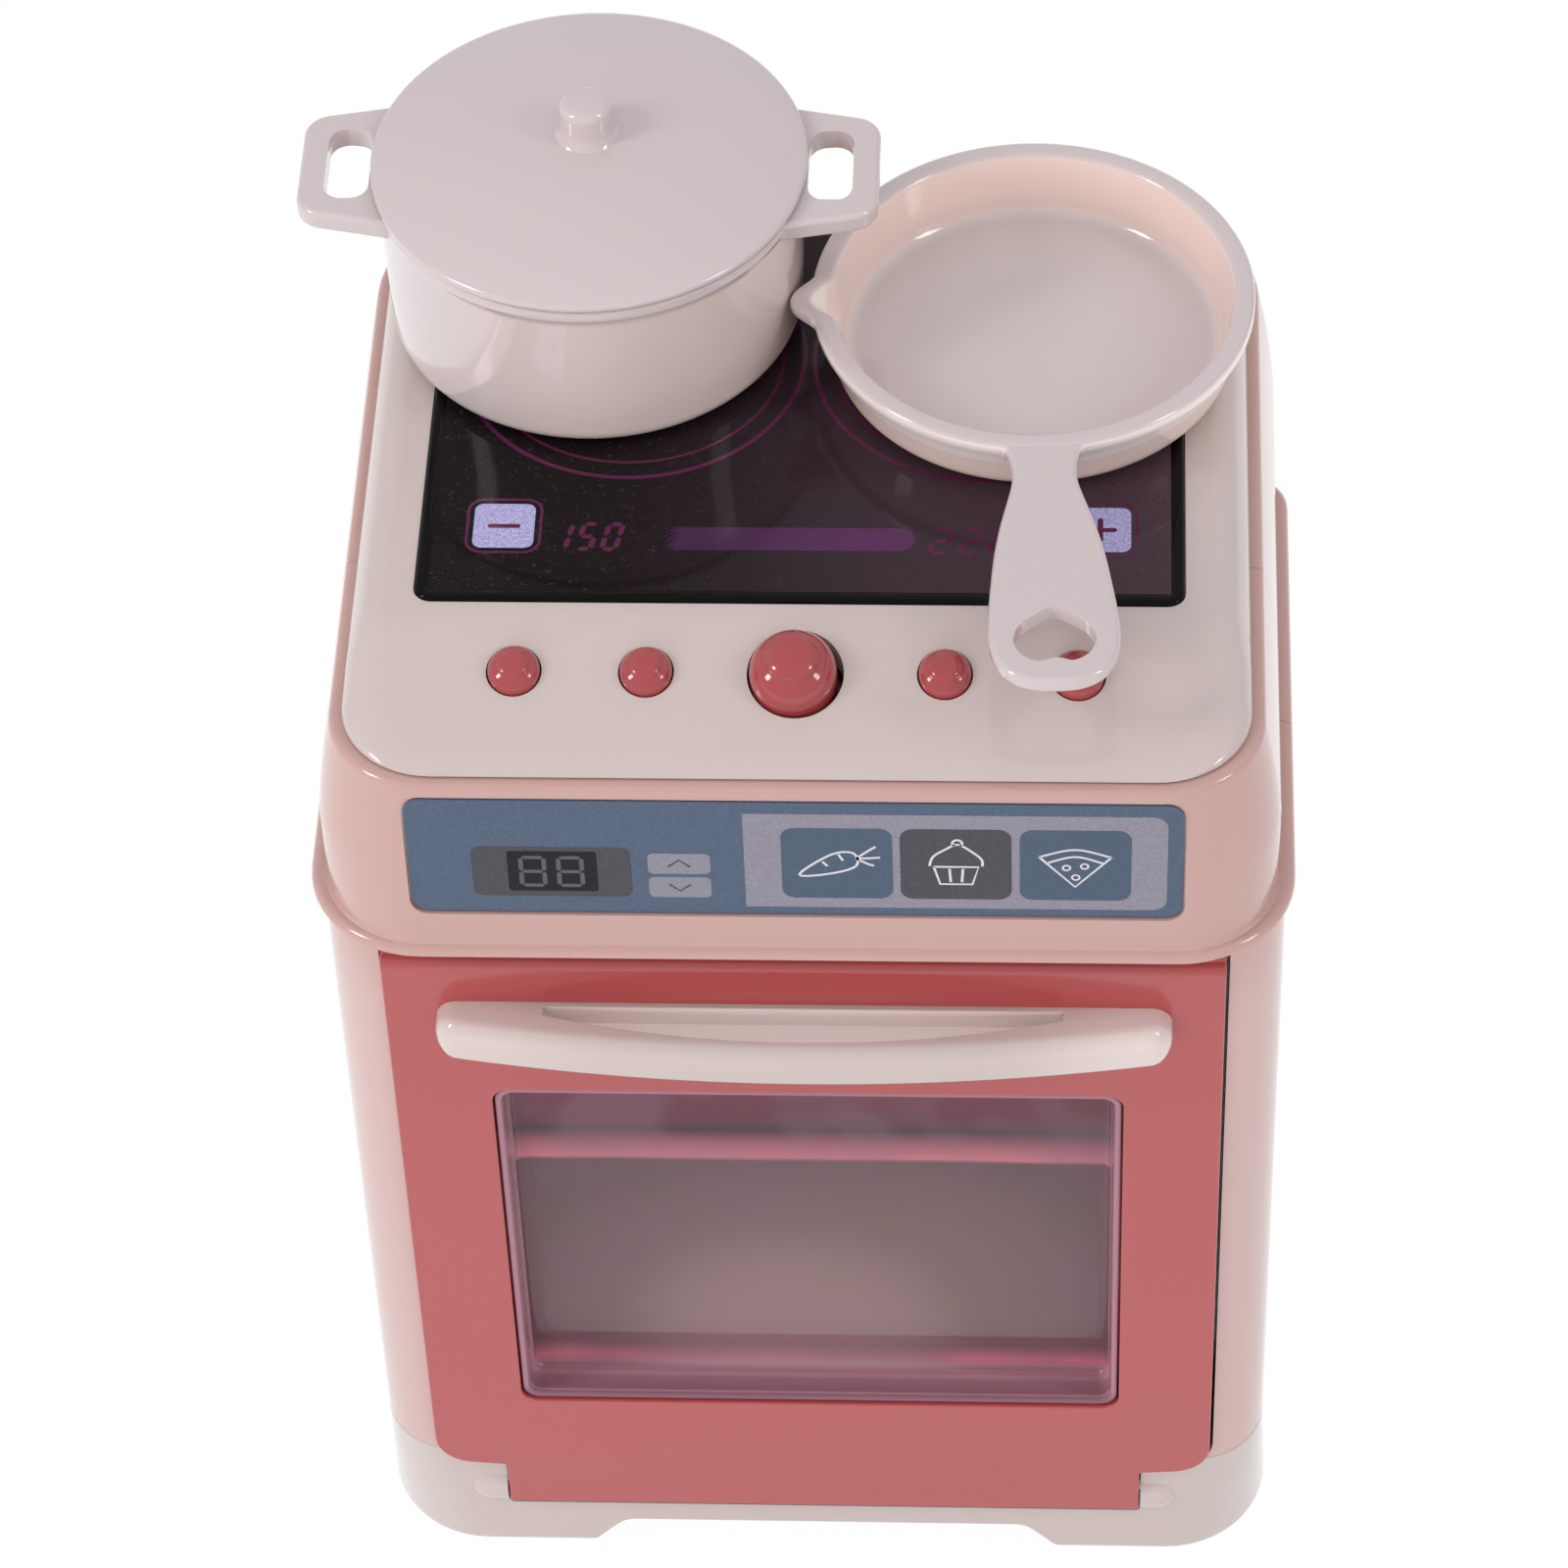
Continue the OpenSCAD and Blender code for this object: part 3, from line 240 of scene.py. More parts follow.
def printed(name, code, rough=0.42, speck=0.10, grain=0.35, shine=0.35):
    """Screen-printed ink or sheet with a fine speckle, whose size is grain."""
    f = Finish(name)
    dots = f.noise(grain, 1.0)
    colour = tone(code)
    deep = tuple(c * (1 - speck) for c in colour)
    pale = tuple(min(1.0, c * (1 + speck) + 0.004) for c in colour)
    f.surface(
        Base_Color=f.mix(dots.ramp(0.35, 0.65), deep, pale),
        Roughness=(dots - 0.5) * 0.1 + rough,
        Specular_IOR_Level=shine,
        Normal=f.bump(dots, 0.004, 0.4),
    )


def cookware_painted_light(f):
    """Painted light: paler inside and outside of the frying pan's wall, and on the saucepan's
    right side.
    """
    x, y, z = f.axes()
    pan = (x - PAN_X) ** 2.0 + (y - PAN_Y) ** 2.0
    pot = (x - POT_X) ** 2.0 + (y - POT_Y) ** 2.0
    under_rim = z.fade(238.4, 239.1)
    inner = pan.ramp(29.5**2, 32.3**2) * pan.fade(34.3**2, 34.5**2) * under_rim
    outer = pan.ramp(34.3**2, 34.5**2) * pan.fade(37.0**2, 37.6**2) * under_rim
    side = pot.ramp(32.6**2, 33.4**2) * pot.fade(35.9**2, 36.1**2)
    side = side * z.fade(255.5, 257.0) * x.ramp(-62.0, -34.0)
    return [(inner, tone("f4dbd0")), (outer, tone("f6e9e2")), (side, tone("e3d2ca"))]


def handle_painted_light(f):
    """Painted light: paler ends of the door handle, the right end most, and a paler pocket behind
    the bowed front.
    """
    x, y, z = f.axes()
    front = DOOR_FRONT - 11.4 + (x / 61.5) ** 2.0 * 5.4
    pocket = (y - front).ramp(2.6, 3.6) * z.ramp(152.6, 153.0)
    pocket = pocket * z.fade(156.9, 157.2) * x.size().fade(42.5, 43.5)
    ends = x.size().ramp(30.0, 58.0)
    return [(ends * 0.7, f.mix(x.above(0.0), "dccbc4", "ecddd6")), (pocket, tone("efe3de"))]


def body_painted_light(f):
    """Painted light: the body is painted paler towards its foot."""
    z = f.axes()[2]
    return [(z.fade(150.0, 178.0) * 0.6, tone("d4b6b1"))]


def make_mouldings(look):
    moulded("cream_gloss", look.cream, 0.15, coat=0.55)
    moulded("handle_cream", look.cream, 0.15, coat=0.55, painted_light=handle_painted_light)
    moulded(
        "cookware_cream", look.cookware, 0.12, coat=0.6, Specular_IOR_Level=0.6,
        painted_light=cookware_painted_light,
    )
    moulded("pink_gloss", look.pink, 0.14, coat=0.5, painted_light=body_painted_light)
    moulded("coral_gloss", look.coral, 0.16, speck=0.012, orange=0.0004, coat=0.5)
    moulded("button_coral", look.button, 0.1, coat=0.5)
    moulded("dark_plastic", tone("1d1c1e"), 0.45, coat=0.0, orange=0.006)
    moulded("pad_rubber", tone("b9b6ac"), 0.6, coat=0.0)


def make_hob_finishes():
    """Polished black with a faintly brown printed field, painted paler to the right as a
    reflection, and the purple print on it.
    """
    f = Finish("hob_black")
    x, y, _ = f.axes()
    smear = f.noise(30.0, 4.0, stretch=(1.0, 2.2, 1.0))
    dust = f.noise(0.7, 1.0)
    field = x.size().below(60.2) * (y - 7.15).size().below(43.1)
    # The field's brown print with a painted reflection, paler towards the right
    brown_and_sheen = f.mix(x.ramp(-40.0, 60.0), "140d10", "4a3840")
    speckled = f.mix(dust.ramp(0.6, 0.8), brown_and_sheen, "35292f")
    f.surface(
        Base_Color=f.mix(field, "040304", speckled),
        Roughness=(smear - 0.5) * 0.05 + 0.06,
        Specular_IOR_Level=0.14,
        Normal=f.bump(f.noise(14.0, 1.0), 0.01, 0.35),
    )

    # The long bar fades out to the left, the thin lines are solid
    f = Finish("print_purple")
    x, y, _ = f.axes()
    in_bar = (y + 24.1).size().below(3.2) * x.above(-27.5) * x.below(19.4)
    grainy = f.noise(0.32, 1.0)
    thin_out = (x.ramp(-27.5, -13.0) * 1.25 + grainy * 0.8 - 0.72).ramp(0.0, 0.3)
    bar = f.mix(x.ramp(-20.0, 16.0), "3b1640", "541f50")
    f.surface(
        Base_Color=f.mix(in_bar, "54103f", bar),
        Alpha=thin_out * in_bar + (1.0 - in_bar),
        Roughness=grainy * 0.05 + 0.12,
        Specular_IOR_Level=0.36,
    )
    printed("print_lilac", "aeaad6", 0.35, 0.2, 0.45)


def make_strip_finishes():
    printed("strip_blue", "4c5c72", 0.4, 0.08)
    printed("strip_grey", "8c8995", 0.42, 0.08)
    printed("strip_dark", "44414a", 0.4)
    printed("strip_display", "1b191e", 0.35, 0.08, shine=0.15)
    printed("strip_tile", "46576c", 0.4, 0.08)
    printed("strip_key", "8a8993", 0.42, 0.06)
    printed("strip_line", "d9d7dc", 0.4, 0.04)
    printed("strip_segment", "57545b", 0.4, 0.05)
    printed("strip_mark", "4b4950", 0.4, 0.05)


# The window's pane from its foot to its top: a painted view of the blurred edges behind it,
# with painted light and shade: a lit pink band under a dark shaded band near the top
PANE_TONES = (
    (0.02, "8d5f70"), (0.045, "d97c8b"), (0.075, "a0737e"), (0.10, "84666b"),
    (0.50, "836869"), (0.752, "80646a"), (0.758, "cc7481"), (0.80, "ab5f6d"),
    (0.838, "6a3c4a"), (0.855, "432a36"), (0.88, "64303f"), (1.0, "7b3346"),
)
# How far the pane covers what is behind it, over the same height
PANE_COVER = ((0.03, 0.85), (0.09, 0.5), (0.745, 0.45), (0.76, 0.9), (1.0, 0.85))
PANE_FOOT, PANE_HEIGHT = 46.0, 80.0


def make_window_finish():
    """Smoky clear tray: a blurred pane with painted light and shade, and walls with the pink of
    the door and painted highlights on them.
    """
    f = Finish("smoky_clear")
    x, y, z = f.axes()
    haze = f.noise(22.0, 3.0)
    on_wall = (-58.6 - y).ramp(0.0, 0.5)
    high = (z + (haze - 0.5) * 0.8 - PANE_FOOT) / PANE_HEIGHT
    # The pane's colours up its height: the painted view behind it, with its light and shade
    painted_view = f.ramped(high, [(at, tone(code)) for at, code in PANE_TONES])
    covered = f.ramped(high, [(at, (grey,) * 3) for at, grey in PANE_COVER])
    # Painted light: a soft pale glow low in the middle of the pane
    painted_glow = (((x + 4.0) / 36.0) ** 2.0 + ((z - 56.0) / 34.0) ** 2.0).fade(0.0, 1.0)
    tinted = f.mix(f.noise(16.0, 1.0).ramp(0.4, 0.62) * 0.35, painted_view, "8a687a")
    pane = f.mix(painted_glow * high.below(0.74) * 0.6, tinted, "b29294")
    # Painted highlights: two pale lines along the walls
    near_highlight = (y + 64.0).size().fade(0.1, 0.35)
    far_highlight = (y + 60.2).size().fade(0.1, 0.9)
    # The walls are darker towards the sill
    sill = z.fade(47.0, 50.5)
    plain = f.mix(y.ramp(-64.0, -59.0), "bb8695", "e3a8b3")
    wall = f.mix(near_highlight.most(far_highlight * 0.7), plain, "f8cfd6")
    f.surface(
        Base_Color=f.mix(on_wall, pane, f.mix(sill * 0.7, wall, "7d4f5f")),
        Roughness=(haze - 0.5) * 0.05 + 0.12,
        Alpha=on_wall * (0.85 - covered) + covered,
        Specular_IOR_Level=0.3,
        Coat_Weight=0.4,
        Coat_Roughness=0.04,
    )


def make_inner_finishes(look):
    # Oven lining with a painted glow, paler and lit from within where the lamp would shine on its
    # frosted floor
    f = Finish("oven_mauve")
    x, y, _ = f.axes()
    painted_glow = (((x - 2.0) / 64.0) ** 2.0 + ((y + 40.0) / 40.0) ** 2.0).fade(0.0, 1.0)
    mist = f.noise(9.0, 3.0)
    shine = painted_glow * 0.75 + (mist - 0.5) * 0.06 + 0.12
    f.surface(
        Base_Color=f.mix(shine, "77635f", "a8928e"),
        Emission_Color=f.mix(shine, "3c3032", "c6a49c"),
        Emission_Strength=look.lamp,
        Roughness=(mist - 0.5) * 0.1 + 0.5,
        Normal=f.bump(f.noise(0.6), 0.01, 0.4),
    )

    f = Finish("plated_steel")
    brushed = f.noise(0.25, 3.0, stretch=(0.15, 1.0, 1.0))
    f.surface(
        Base_Color=f.mix(brushed, "a5a5a8", "c6c6c8"),
        Metallic=1.0,
        Roughness=brushed * 0.18 + 0.22,
        Normal=f.bump(brushed, 0.006, 0.5),
    )

    f = Finish("circuit_board")
    x, y, _ = f.axes()
    tracks = ((x * 2.1).math("SINE") * (y * 1.7).math("SINE")).above(0.35)
    f.surface(Base_Color=f.mix(tracks, "14532f", "1f6b3c"), Roughness=0.4, Coat_Weight=0.2)

    f = Finish("cell_wrap")
    z = f.axes()[2]
    f.surface(
        Base_Color=f.mix(z.above(150.0), "2b3a63", "b98a3a"),
        Metallic=0.3,
        Roughness=f.noise(5.0) * 0.1 + 0.28,
    )

    f = Finish("lamp_clear")
    cloud = f.noise(2.0)
    f.surface(
        Base_Color=f.mix(cloud, "f2e3c4", "fff3dd"),
        Roughness=cloud * 0.1 + 0.1,
        Emission_Color=f.mix(cloud, "ffe2b0", "fff0d4"),
        Emission_Strength=0.6,
    )


# ---------------------------------------------------------------- meshes


@contextmanager
def editing(data):
    """Opens a mesh for bmesh steps and writes it back after them."""
    edit = bmesh.new()
    edit.from_mesh(data)
    yield edit
    edit.to_mesh(data)
    edit.free()


class Shape:
    """A mesh being built, in millimetres."""

    def __init__(self):
        self.points, self.faces = [], []

    def loft(self, rings, first=True, last=True):
        """Skins closed rings with the same number of points; first and last close the ends."""
        start, count = len(self.points), len(rings[0])
        for ring in rings:
            self.points += [tuple(p) for p in ring]
        for i in range(len(rings) - 1):
            a = start + i * count
            for j in range(count):
                k = (j + 1) % count
                self.faces.append((a + j, a + k, a + count + k, a + count + j))
        if first:
            self.faces.append(tuple(reversed(range(start, start + count))))
        if last:
            end = start + (len(rings) - 1) * count
            self.faces.append(tuple(range(end, end + count)))
        return self

    def spin(self, profile, centre=(0.0, 0.0, 0.0), steps=128):
        """Turns (radius, height) pairs about the upright line through centre."""
        cx, cy, cz = centre
        turns = [2 * math.pi * i / steps for i in range(steps)]
        rings = [
            [(cx + r * math.cos(t), cy + r * math.sin(t), cz + h) for t in turns]
            for r, h in profile
        ]
        return self.loft(rings, False, False)

    def prism(self, outline, low, high, place=None):
        """A flat outline given thickness; place turns (u, v, w) into a point."""
        place = place or (lambda u, v, w: (u, v, w))
        return self.loft([[place(u, v, w) for u, v in outline] for w in (low, high)])

    def band(self, outer, inner, low, high, place):
        """A flat ring between two outlines with the same number of points."""
        loops = [(outer, low), (outer, high), (inner, high), (inner, low), (outer, low)]
        rings = [[place(u, v, w) for u, v in outline] for outline, w in loops]
        return self.loft(rings, False, False)

    def object(self, name):
        """The shape as an object in metres, its doubles merged and its faces outwards."""
        data = bpy.data.meshes.new(name)
        points = [(x * MM, y * MM, z * MM) for x, y, z in self.points]
        data.from_pydata(points, [], self.faces)
        with editing(data) as edit:
            bmesh.ops.remove_doubles(edit, verts=edit.verts, dist=2e-7)
            bmesh.ops.dissolve_degenerate(edit, edges=edit.edges, dist=1e-7)
            bmesh.ops.recalc_face_normals(edit, faces=edit.faces)
        made = bpy.data.objects.new(name, data)
        bpy.context.scene.collection.objects.link(made)
        return made


def evaluated(obj):
    """The object's mesh with its modifiers applied, put back as plain data."""
    bpy.context.view_layer.update()
    graph = bpy.context.evaluated_depsgraph_get()
    data = bpy.data.meshes.new_from_object(obj.evaluated_get(graph), depsgraph=graph)
    data.name = obj.name
    obj.modifiers.clear()
    obj.data = data
    return obj


def discard(obj):
    """Removes a helper object with its mesh."""
    data = obj.data
    bpy.data.objects.remove(obj)
    bpy.data.meshes.remove(data)


def carve(obj, *steps):
    """Applies Boolean steps in order; each is an operation and a Shape."""
    tools = []
    for number, (operation, shape) in enumerate(steps):
        tools.append(shape.object(f"{obj.name}_tool_{number}"))
        change = obj.modifiers.new(f"step_{number}", "BOOLEAN")
        change.solver, change.operation, change.object = "EXACT", operation, tools[-1]
    evaluated(obj)
    for tool in tools:
        discard(tool)
    with editing(obj.data) as edit:
        bmesh.ops.remove_doubles(edit, verts=edit.verts, dist=4e-6)
        bmesh.ops.dissolve_degenerate(edit, edges=edit.edges, dist=2e-6)


def less(*shapes):
    """Boolean steps that take the shapes away."""
    return [("DIFFERENCE", shape) for shape in shapes]


def soften(obj, width, segments, angle):
    """Rounds the edges that are sharper than angle."""
    change = obj.modifiers.new("rounded", "BEVEL")
    change.width, change.segments = width * MM, segments
    change.limit_method, change.angle_limit = "ANGLE", math.radians(angle)
    change.miter_outer = "MITER_ARC"
    evaluated(obj)


def finished(obj, body, finish, slot, replaces=None, sharp=42.0, weighted=True):
    """Shades the piece smooth, gives it its finish and puts it on its body."""
    with editing(obj.data) as edit:
        for face in edit.faces:
            face.smooth = True
        for edge in edit.edges:
            flat = len(edge.link_faces) != 2 or edge.calc_face_angle() <= math.radians(sharp)
            edge.smooth = flat
    if weighted:
        change = obj.modifiers.new("shading", "WEIGHTED_NORMAL")
        change.keep_sharp, change.weight = True, 90
        evaluated(obj)
    obj.data.materials.clear()
    obj.data.materials.append(FINISHES[finish])
    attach(obj, body)
    if replaces:
        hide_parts(replaces)


def ink(shape, name, finish, slot):
    """A thin print on the housing."""
    finished(shape.object(name), "housing", finish, slot, sharp=20, weighted=False)


# ---------------------------------------------------------------- outlines


def arc(cx, cy, radius, start, end, steps=10):
    """Points of an arc; the angles are in degrees."""
    turns = [math.radians(start + (end - start) * i / steps) for i in range(steps + 1)]
    return [(cx + radius * math.cos(t), cy + radius * math.sin(t)) for t in turns]


def circle(cx, cy, radius, count):
    return arc(cx, cy, radius, 0, 360 - 360 / count, count - 1)


def plan(width, y0, y1, front_r, rear_r, steps=12, inset=0.0):
    """A rectangle seen from above, with its own radii at the front and the rear."""
    w, y0, y1 = width / 2 - inset, y0 + inset, y1 - inset
    f, r = max(front_r - inset, 0.3), max(rear_r - inset, 0.3)
    return (
        arc(-w + f, y0 + f, f, 180, 270, steps)
        + arc(w - f, y0 + f, f, 270, 360, steps)
        + arc(w - r, y1 - r, r, 0, 90, steps)
        + arc(-w + r, y1 - r, r, 90, 180, steps)
    )


def rounded(x0, z0, x1, z1, r, steps=8):
    """A rectangle with one corner radius, counter-clockwise."""
    return (
        arc(x0 + r, z0 + r, r, 180, 270, steps)
        + arc(x1 - r, z0 + r, r, 270, 360, steps)
        + arc(x1 - r, z1 - r, r, 0, 90, steps)
        + arc(x0 + r, z1 - r, r, 90, 180, steps)
    )


def mirrored(points):
    """The points on the other side of the middle, from the last to the first."""
    return [(-x, y) for x, y in reversed(points)]


def level(outline, z):
    return [(x, y, z) for x, y in outline]


def on_front(y):
    """Places an (across, up, outward) point on an upright plane facing the front."""
    return lambda u, v, w: (u, y - w, v)


def front_prism(outline, low, high, plane=0):
    """A prism on an upright plane facing the front."""
    return Shape().prism(outline, low, high, on_front(plane))


def smooth_path(points, steps=6, closed=False):
    """A Catmull-Rom curve through the points."""
    count = len(points)
    if closed:
        picked = [[points[(i + k) % count] for k in (-1, 0, 1, 2)] for i in range(count)]
    else:
        padded = [points[0]] + list(points) + [points[-1]]
        picked = [padded[i : i + 4] for i in range(count - 1)]

    def between(a, b, c, d, t):
        square = (2 * a - 5 * b + 4 * c - d) * t * t
        return 0.5 * (2 * b + (c - a) * t + square + (3 * b - a - 3 * c + d) * t**3)

    path = [
        tuple(between(*four, s / steps) for four in zip(*corners))
        for corners in picked
        for s in range(steps)
    ]
    return path if closed else path + [tuple(points[-1])]


def stroke(shape, points, width, low, high, place, closed=False):
    """A line of even width along the points, given thickness."""
    count = len(points)
    left, right = [], []
    for i, (x, y) in enumerate(points):
        ahead = points[(i + 1) % count] if closed or i < count - 1 else points[i]
        behind = points[i - 1] if closed or i > 0 else points[i]
        dx, dy = ahead[0] - behind[0], ahead[1] - behind[1]
        span = math.hypot(dx, dy) or 1.0
        nx, ny = -dy / span * width / 2, dx / span * width / 2
        left.append((x + nx, y + ny))
        right.append((x - nx, y - ny))
    if closed:
        return shape.band(left, right, low, high, place)
    return shape.prism(right + left[::-1], low, high, place)


def resampled(path, count):
    """The closed path with evenly spaced points."""
    loop = list(path) + [path[0]]
    lengths = [0.0]
    for (x0, y0), (x1, y1) in zip(loop, loop[1:]):
        lengths.append(lengths[-1] + math.hypot(x1 - x0, y1 - y0))
    spots, j = [], 0
    for i in range(count):
        want = lengths[-1] * i / count
        while lengths[j + 1] < want:
            j += 1
        t = (want - lengths[j]) / max(lengths[j + 1] - lengths[j], 1e-9)
        (x0, y0), (x1, y1) = loop[j], loop[j + 1]
        spots.append((x0 + (x1 - x0) * t, y0 + (y1 - y0) * t))
    return spots


def inset_loop(loop, inset):
    """Moves each point of a counter-clockwise loop inwards."""
    count, found = len(loop), []
    for i, (x, y) in enumerate(loop):
        (x0, y0), (x1, y1) = loop[i - 1], loop[(i + 1) % count]
        dx, dy = x1 - x0, y1 - y0
        span = math.hypot(dx, dy) or 1.0
        found.append((x - dy / span * inset, y + dx / span * inset))
    return found


def bevelled_plate(outline, z0, z1, radius):
    """A flat piece whose upper and lower edges are rounded."""
    turns = [math.radians(90 * i / 4) for i in range(5)]
    edge = [(radius * (1 - math.sin(t)), radius * (1 - math.cos(t))) for t in turns]
    levels = [(z0 + drop, inset) for drop, inset in reversed(edge)]
    levels += [(z1 - drop, inset) for drop, inset in edge]
    return Shape().loft([level(inset_loop(outline, inset), z) for z, inset in levels])


def moved(shape, dx, dy, dz, turn=0.0):
    c, s = math.cos(math.radians(turn)), math.sin(math.radians(turn))
    shape.points = [(dx + x * c - y * s, dy + x * s + y * c, dz + z) for x, y, z in shape.points]
    return shape


# Bars of a seven-segment figure, named as usual: a on top, then clockwise to f, g across
SEGMENTS = {"0": "abcdef", "1": "bc", "2": "abged", "5": "afgcd", "8": "abcdefg"}


def digits(shape, text, spot, size, bar, low, high, place, lean=0.0, gap=1.2):
    """Seven-segment figures from spot to the right, each leaning a little."""
    (x, y), (width, height) = spot, size
    mid, g, h = height / 2, bar * 0.16, bar / 2

    def across(v):
        near, far = bar + g, width - bar - g
        return [
            (g + h, v), (near, v + h), (far, v + h),
            (width - g - h, v), (far, v - h), (near, v - h),
        ]

    def upright(u, v0, v1):
        near, far = v0 + bar + g, v1 - bar - g
        return [
            (u, v0 + g + h), (u + h, near), (u + h, far),
            (u, v1 - g - h), (u - h, far), (u - h, near),
        ]

    bars = {
        "a": across(height - h),
        "b": upright(width - h, mid - h, height),
        "c": upright(width - h, 0, mid + h),
        "d": across(h),
        "e": upright(h, 0, mid + h),
        "f": upright(h, mid - h, height),
        "g": across(mid),
    }
    for number, figure in enumerate(text):
        x0 = x + number * (width + gap)
        for name in SEGMENTS[figure]:
            points = [(x0 + u + lean * v, y + v) for u, v in bars[name]]
            shape.prism(points, low, high, place)
    return shape


# ---------------------------------------------------------------- screws

SCATTER_NODES = {
    "start": "NodeGroupInput",
    "end": "NodeGroupOutput",
    "info": "GeometryNodeObjectInfo",
    "copies": "GeometryNodeInstanceOnPoints",
    "aim": "FunctionNodeAlignEulerToVector",
    "spread": "FunctionNodeRandomValue",
    "spin": "GeometryNodeRotateInstances",
    "angles": "ShaderNodeCombineXYZ",
    "scaled": "ShaderNodeMath",
    "real": "GeometryNodeRealizeInstances",
    "paint": "GeometryNodeSetMaterial",
}
SCATTER_LINKS = (
    ("start", "Geometry", "copies", "Points"),
    ("info", "Geometry", "copies", "Instance"),
    ("aim", 0, "copies", "Rotation"),
    ("start", "Size", "copies", "Scale"),
    ("start", "Seed", "spread", "Seed"),
    ("spread", 1, "scaled", 0),
    ("start", "Turn", "scaled", 1),
    ("scaled", 0, "angles", "Z"),
    ("copies", 0, "spin", "Instances"),
    ("angles", 0, "spin", "Rotation"),
    ("spin", 0, "real", 0),
    ("real", 0, "paint", "Geometry"),
    ("paint", 0, "end", 0),
)
# Inputs of the tree: the kind of number and its value
SCATTER_INPUTS = {"Size": ("Float", 1.0), "Turn": ("Float", math.pi), "Seed": ("Int", 7)}


def scatter(name, spots, source, finish, axis):
    """Geometry Nodes: a copy of source at each spot, its +Z along axis, turned at random."""
    cloud = bpy.data.objects.new(name, bpy.data.meshes.new(name))
    cloud.data.from_pydata([tuple(c * MM for c in s) for s in spots], [], [])
    bpy.context.scene.collection.objects.link(cloud)
    tree = bpy.data.node_groups.new(f"{name}_tree", "GeometryNodeTree")
    new_socket, geometry = tree.interface.new_socket, "NodeSocketGeometry"
    new_socket("Geometry", in_out="INPUT", socket_type=geometry)
    given = {}
    for word, (kind, value) in SCATTER_INPUTS.items():
        socket = new_socket(word, in_out="INPUT", socket_type=f"NodeSocket{kind}")
        given[socket.identifier] = value
    new_socket("Geometry", in_out="OUTPUT", socket_type=geometry)
    nodes = {word: tree.nodes.new(kind) for word, kind in SCATTER_NODES.items()}
    nodes["info"].inputs["Object"].default_value = source
    nodes["aim"].axis = "Z"
    nodes["aim"].inputs["Vector"].default_value = axis
    nodes["spread"].data_type = "FLOAT"
    nodes["scaled"].operation = "MULTIPLY"
    nodes["paint"].inputs["Material"].default_value = FINISHES[finish]
    for start, output, end, entry in SCATTER_LINKS:
        tree.links.new(nodes[start].outputs[output], nodes[end].inputs[entry])
    change = cloud.modifiers.new("copies", "NODES")
    change.node_group = tree
    for identifier, value in given.items():
        change[identifier] = value
    return evaluated(cloud)


def screw_head(radius=2.6, height=1.4, slot=0.55):
    """A domed cross-head, its seat at z = 0."""
    dome = ((1, 0), (1, 0.35), (0.93, 0.66), (0.75, 0.88), (0.4, 1))
    profile = [(0, 0)] + [(radius * q, height * h) for q, h in dome] + [(0, height)]
    head = Shape().spin(profile, steps=32).object("screw_head_source")
    cross = []
    for a, b in ((radius * 0.62, slot / 2), (slot / 2, radius * 0.62)):
        bar = [(-a, -b), (a, -b), (a, b), (-a, b)]
        cross.append(Shape().prism(bar, height * 0.4, height + 1))
    carve(head, *less(*cross))
    soften(head, 0.08, 1, 35)
    return head


# ---------------------------------------------------------------- body and base

# Sides of the body's lip and of the foot of its head: height and inset
LIP_SIDE = ((178.0, 0.9), (178.25, 0.35), (178.8, 0.0), (179.5, 0.1), (180.0, 0.6), (180.3, 1.4))
HEAD_SIDE = ((179.0, 0.0), (180.3, -0.5), (181.2, -0.05), (184, 0.0), (196, 0.0))
# Side of the base: height, share of its flare and inset
BASE_SIDE = (
    (0.0, 1, 1.3), (0.25, 1, 0.75), (0.75, 1, 0.25), (1.5, 1, 0.0), (5, 0.9, 0),
    (12, 0.55, 0), (20, 0.22, 0), (28.45, 0, 0), (28.9, 0, 0.45),
)
# Ends of a hinge boss: distance from the middle and radius
BOSS_SIDE = ((57.9, 5.0), (61.0, 5.0), (62.4, 4.8), (63.4, 4.35), (64.1, 3.7), (64.5, 2.9))


def body_outline():
    """The body from above: it steps in behind the front part of each side."""
    wide, narrow, front_r, rear_r = 80.0, 78.0, 12.5, 20.0
    step = [math.radians(a) for a in (0, 22, 45, 68, 90)]
    bend = [(wide - 2.0 * (1 - math.cos(a)), 28.5 + 5.2 * math.sin(a)) for a in step]
    right = arc(wide - front_r, FRONT + front_r, front_r, 270, 360, 12)
    right += bend + arc(narrow - rear_r, BACK - rear_r, rear_r, 0, 90, 12)
    return right + mirrored(right)


def body_block():
    """Outsides of the body, its lip and its head."""
    body = Shape().loft([level(body_outline(), z) for z in (GROUND_SEAM, 70, 120, 179.5)])
    lip = Shape().loft([level(plan(162.6, -74.1, 37.5, 19.5, 8, inset=i), z) for z, i in LIP_SIDE])
    corners = (17, 21)
    rings = [level(plan(157, HEAD_FRONT, 65.0, *corners, inset=i), z) for z, i in HEAD_SIDE]
    for step in range(1, 9):
        t = step / 8
        lean = 3.0 * t * (0.55 + 0.45 * t)
        outline = plan(157 - 2 * lean, HEAD_FRONT + 0.6 * t, 65.0 - 0.4 * t, *corners)
        rings.append(level(outline, 196 + 20.0 * t))
    for a in (math.radians(30), math.radians(60), math.radians(90)):
        outline = plan(151, HEAD_FRONT + 0.6, 64.6, *corners, inset=1.2 * (1 - math.cos(a)))
        rings.append(level(outline, 216 + 1.2 * math.sin(a)))
    return body, lip, Shape().loft(rings)


def half(front, gap=0.05):
    """The space in front of the shells' seam, or behind it."""
    y0, y1 = (-100, SEAM_Y - gap) if front else (SEAM_Y + gap, 100)
    return Shape().prism([(-100, y0), (100, y0), (100, y1), (-100, y1)], 20, 240)


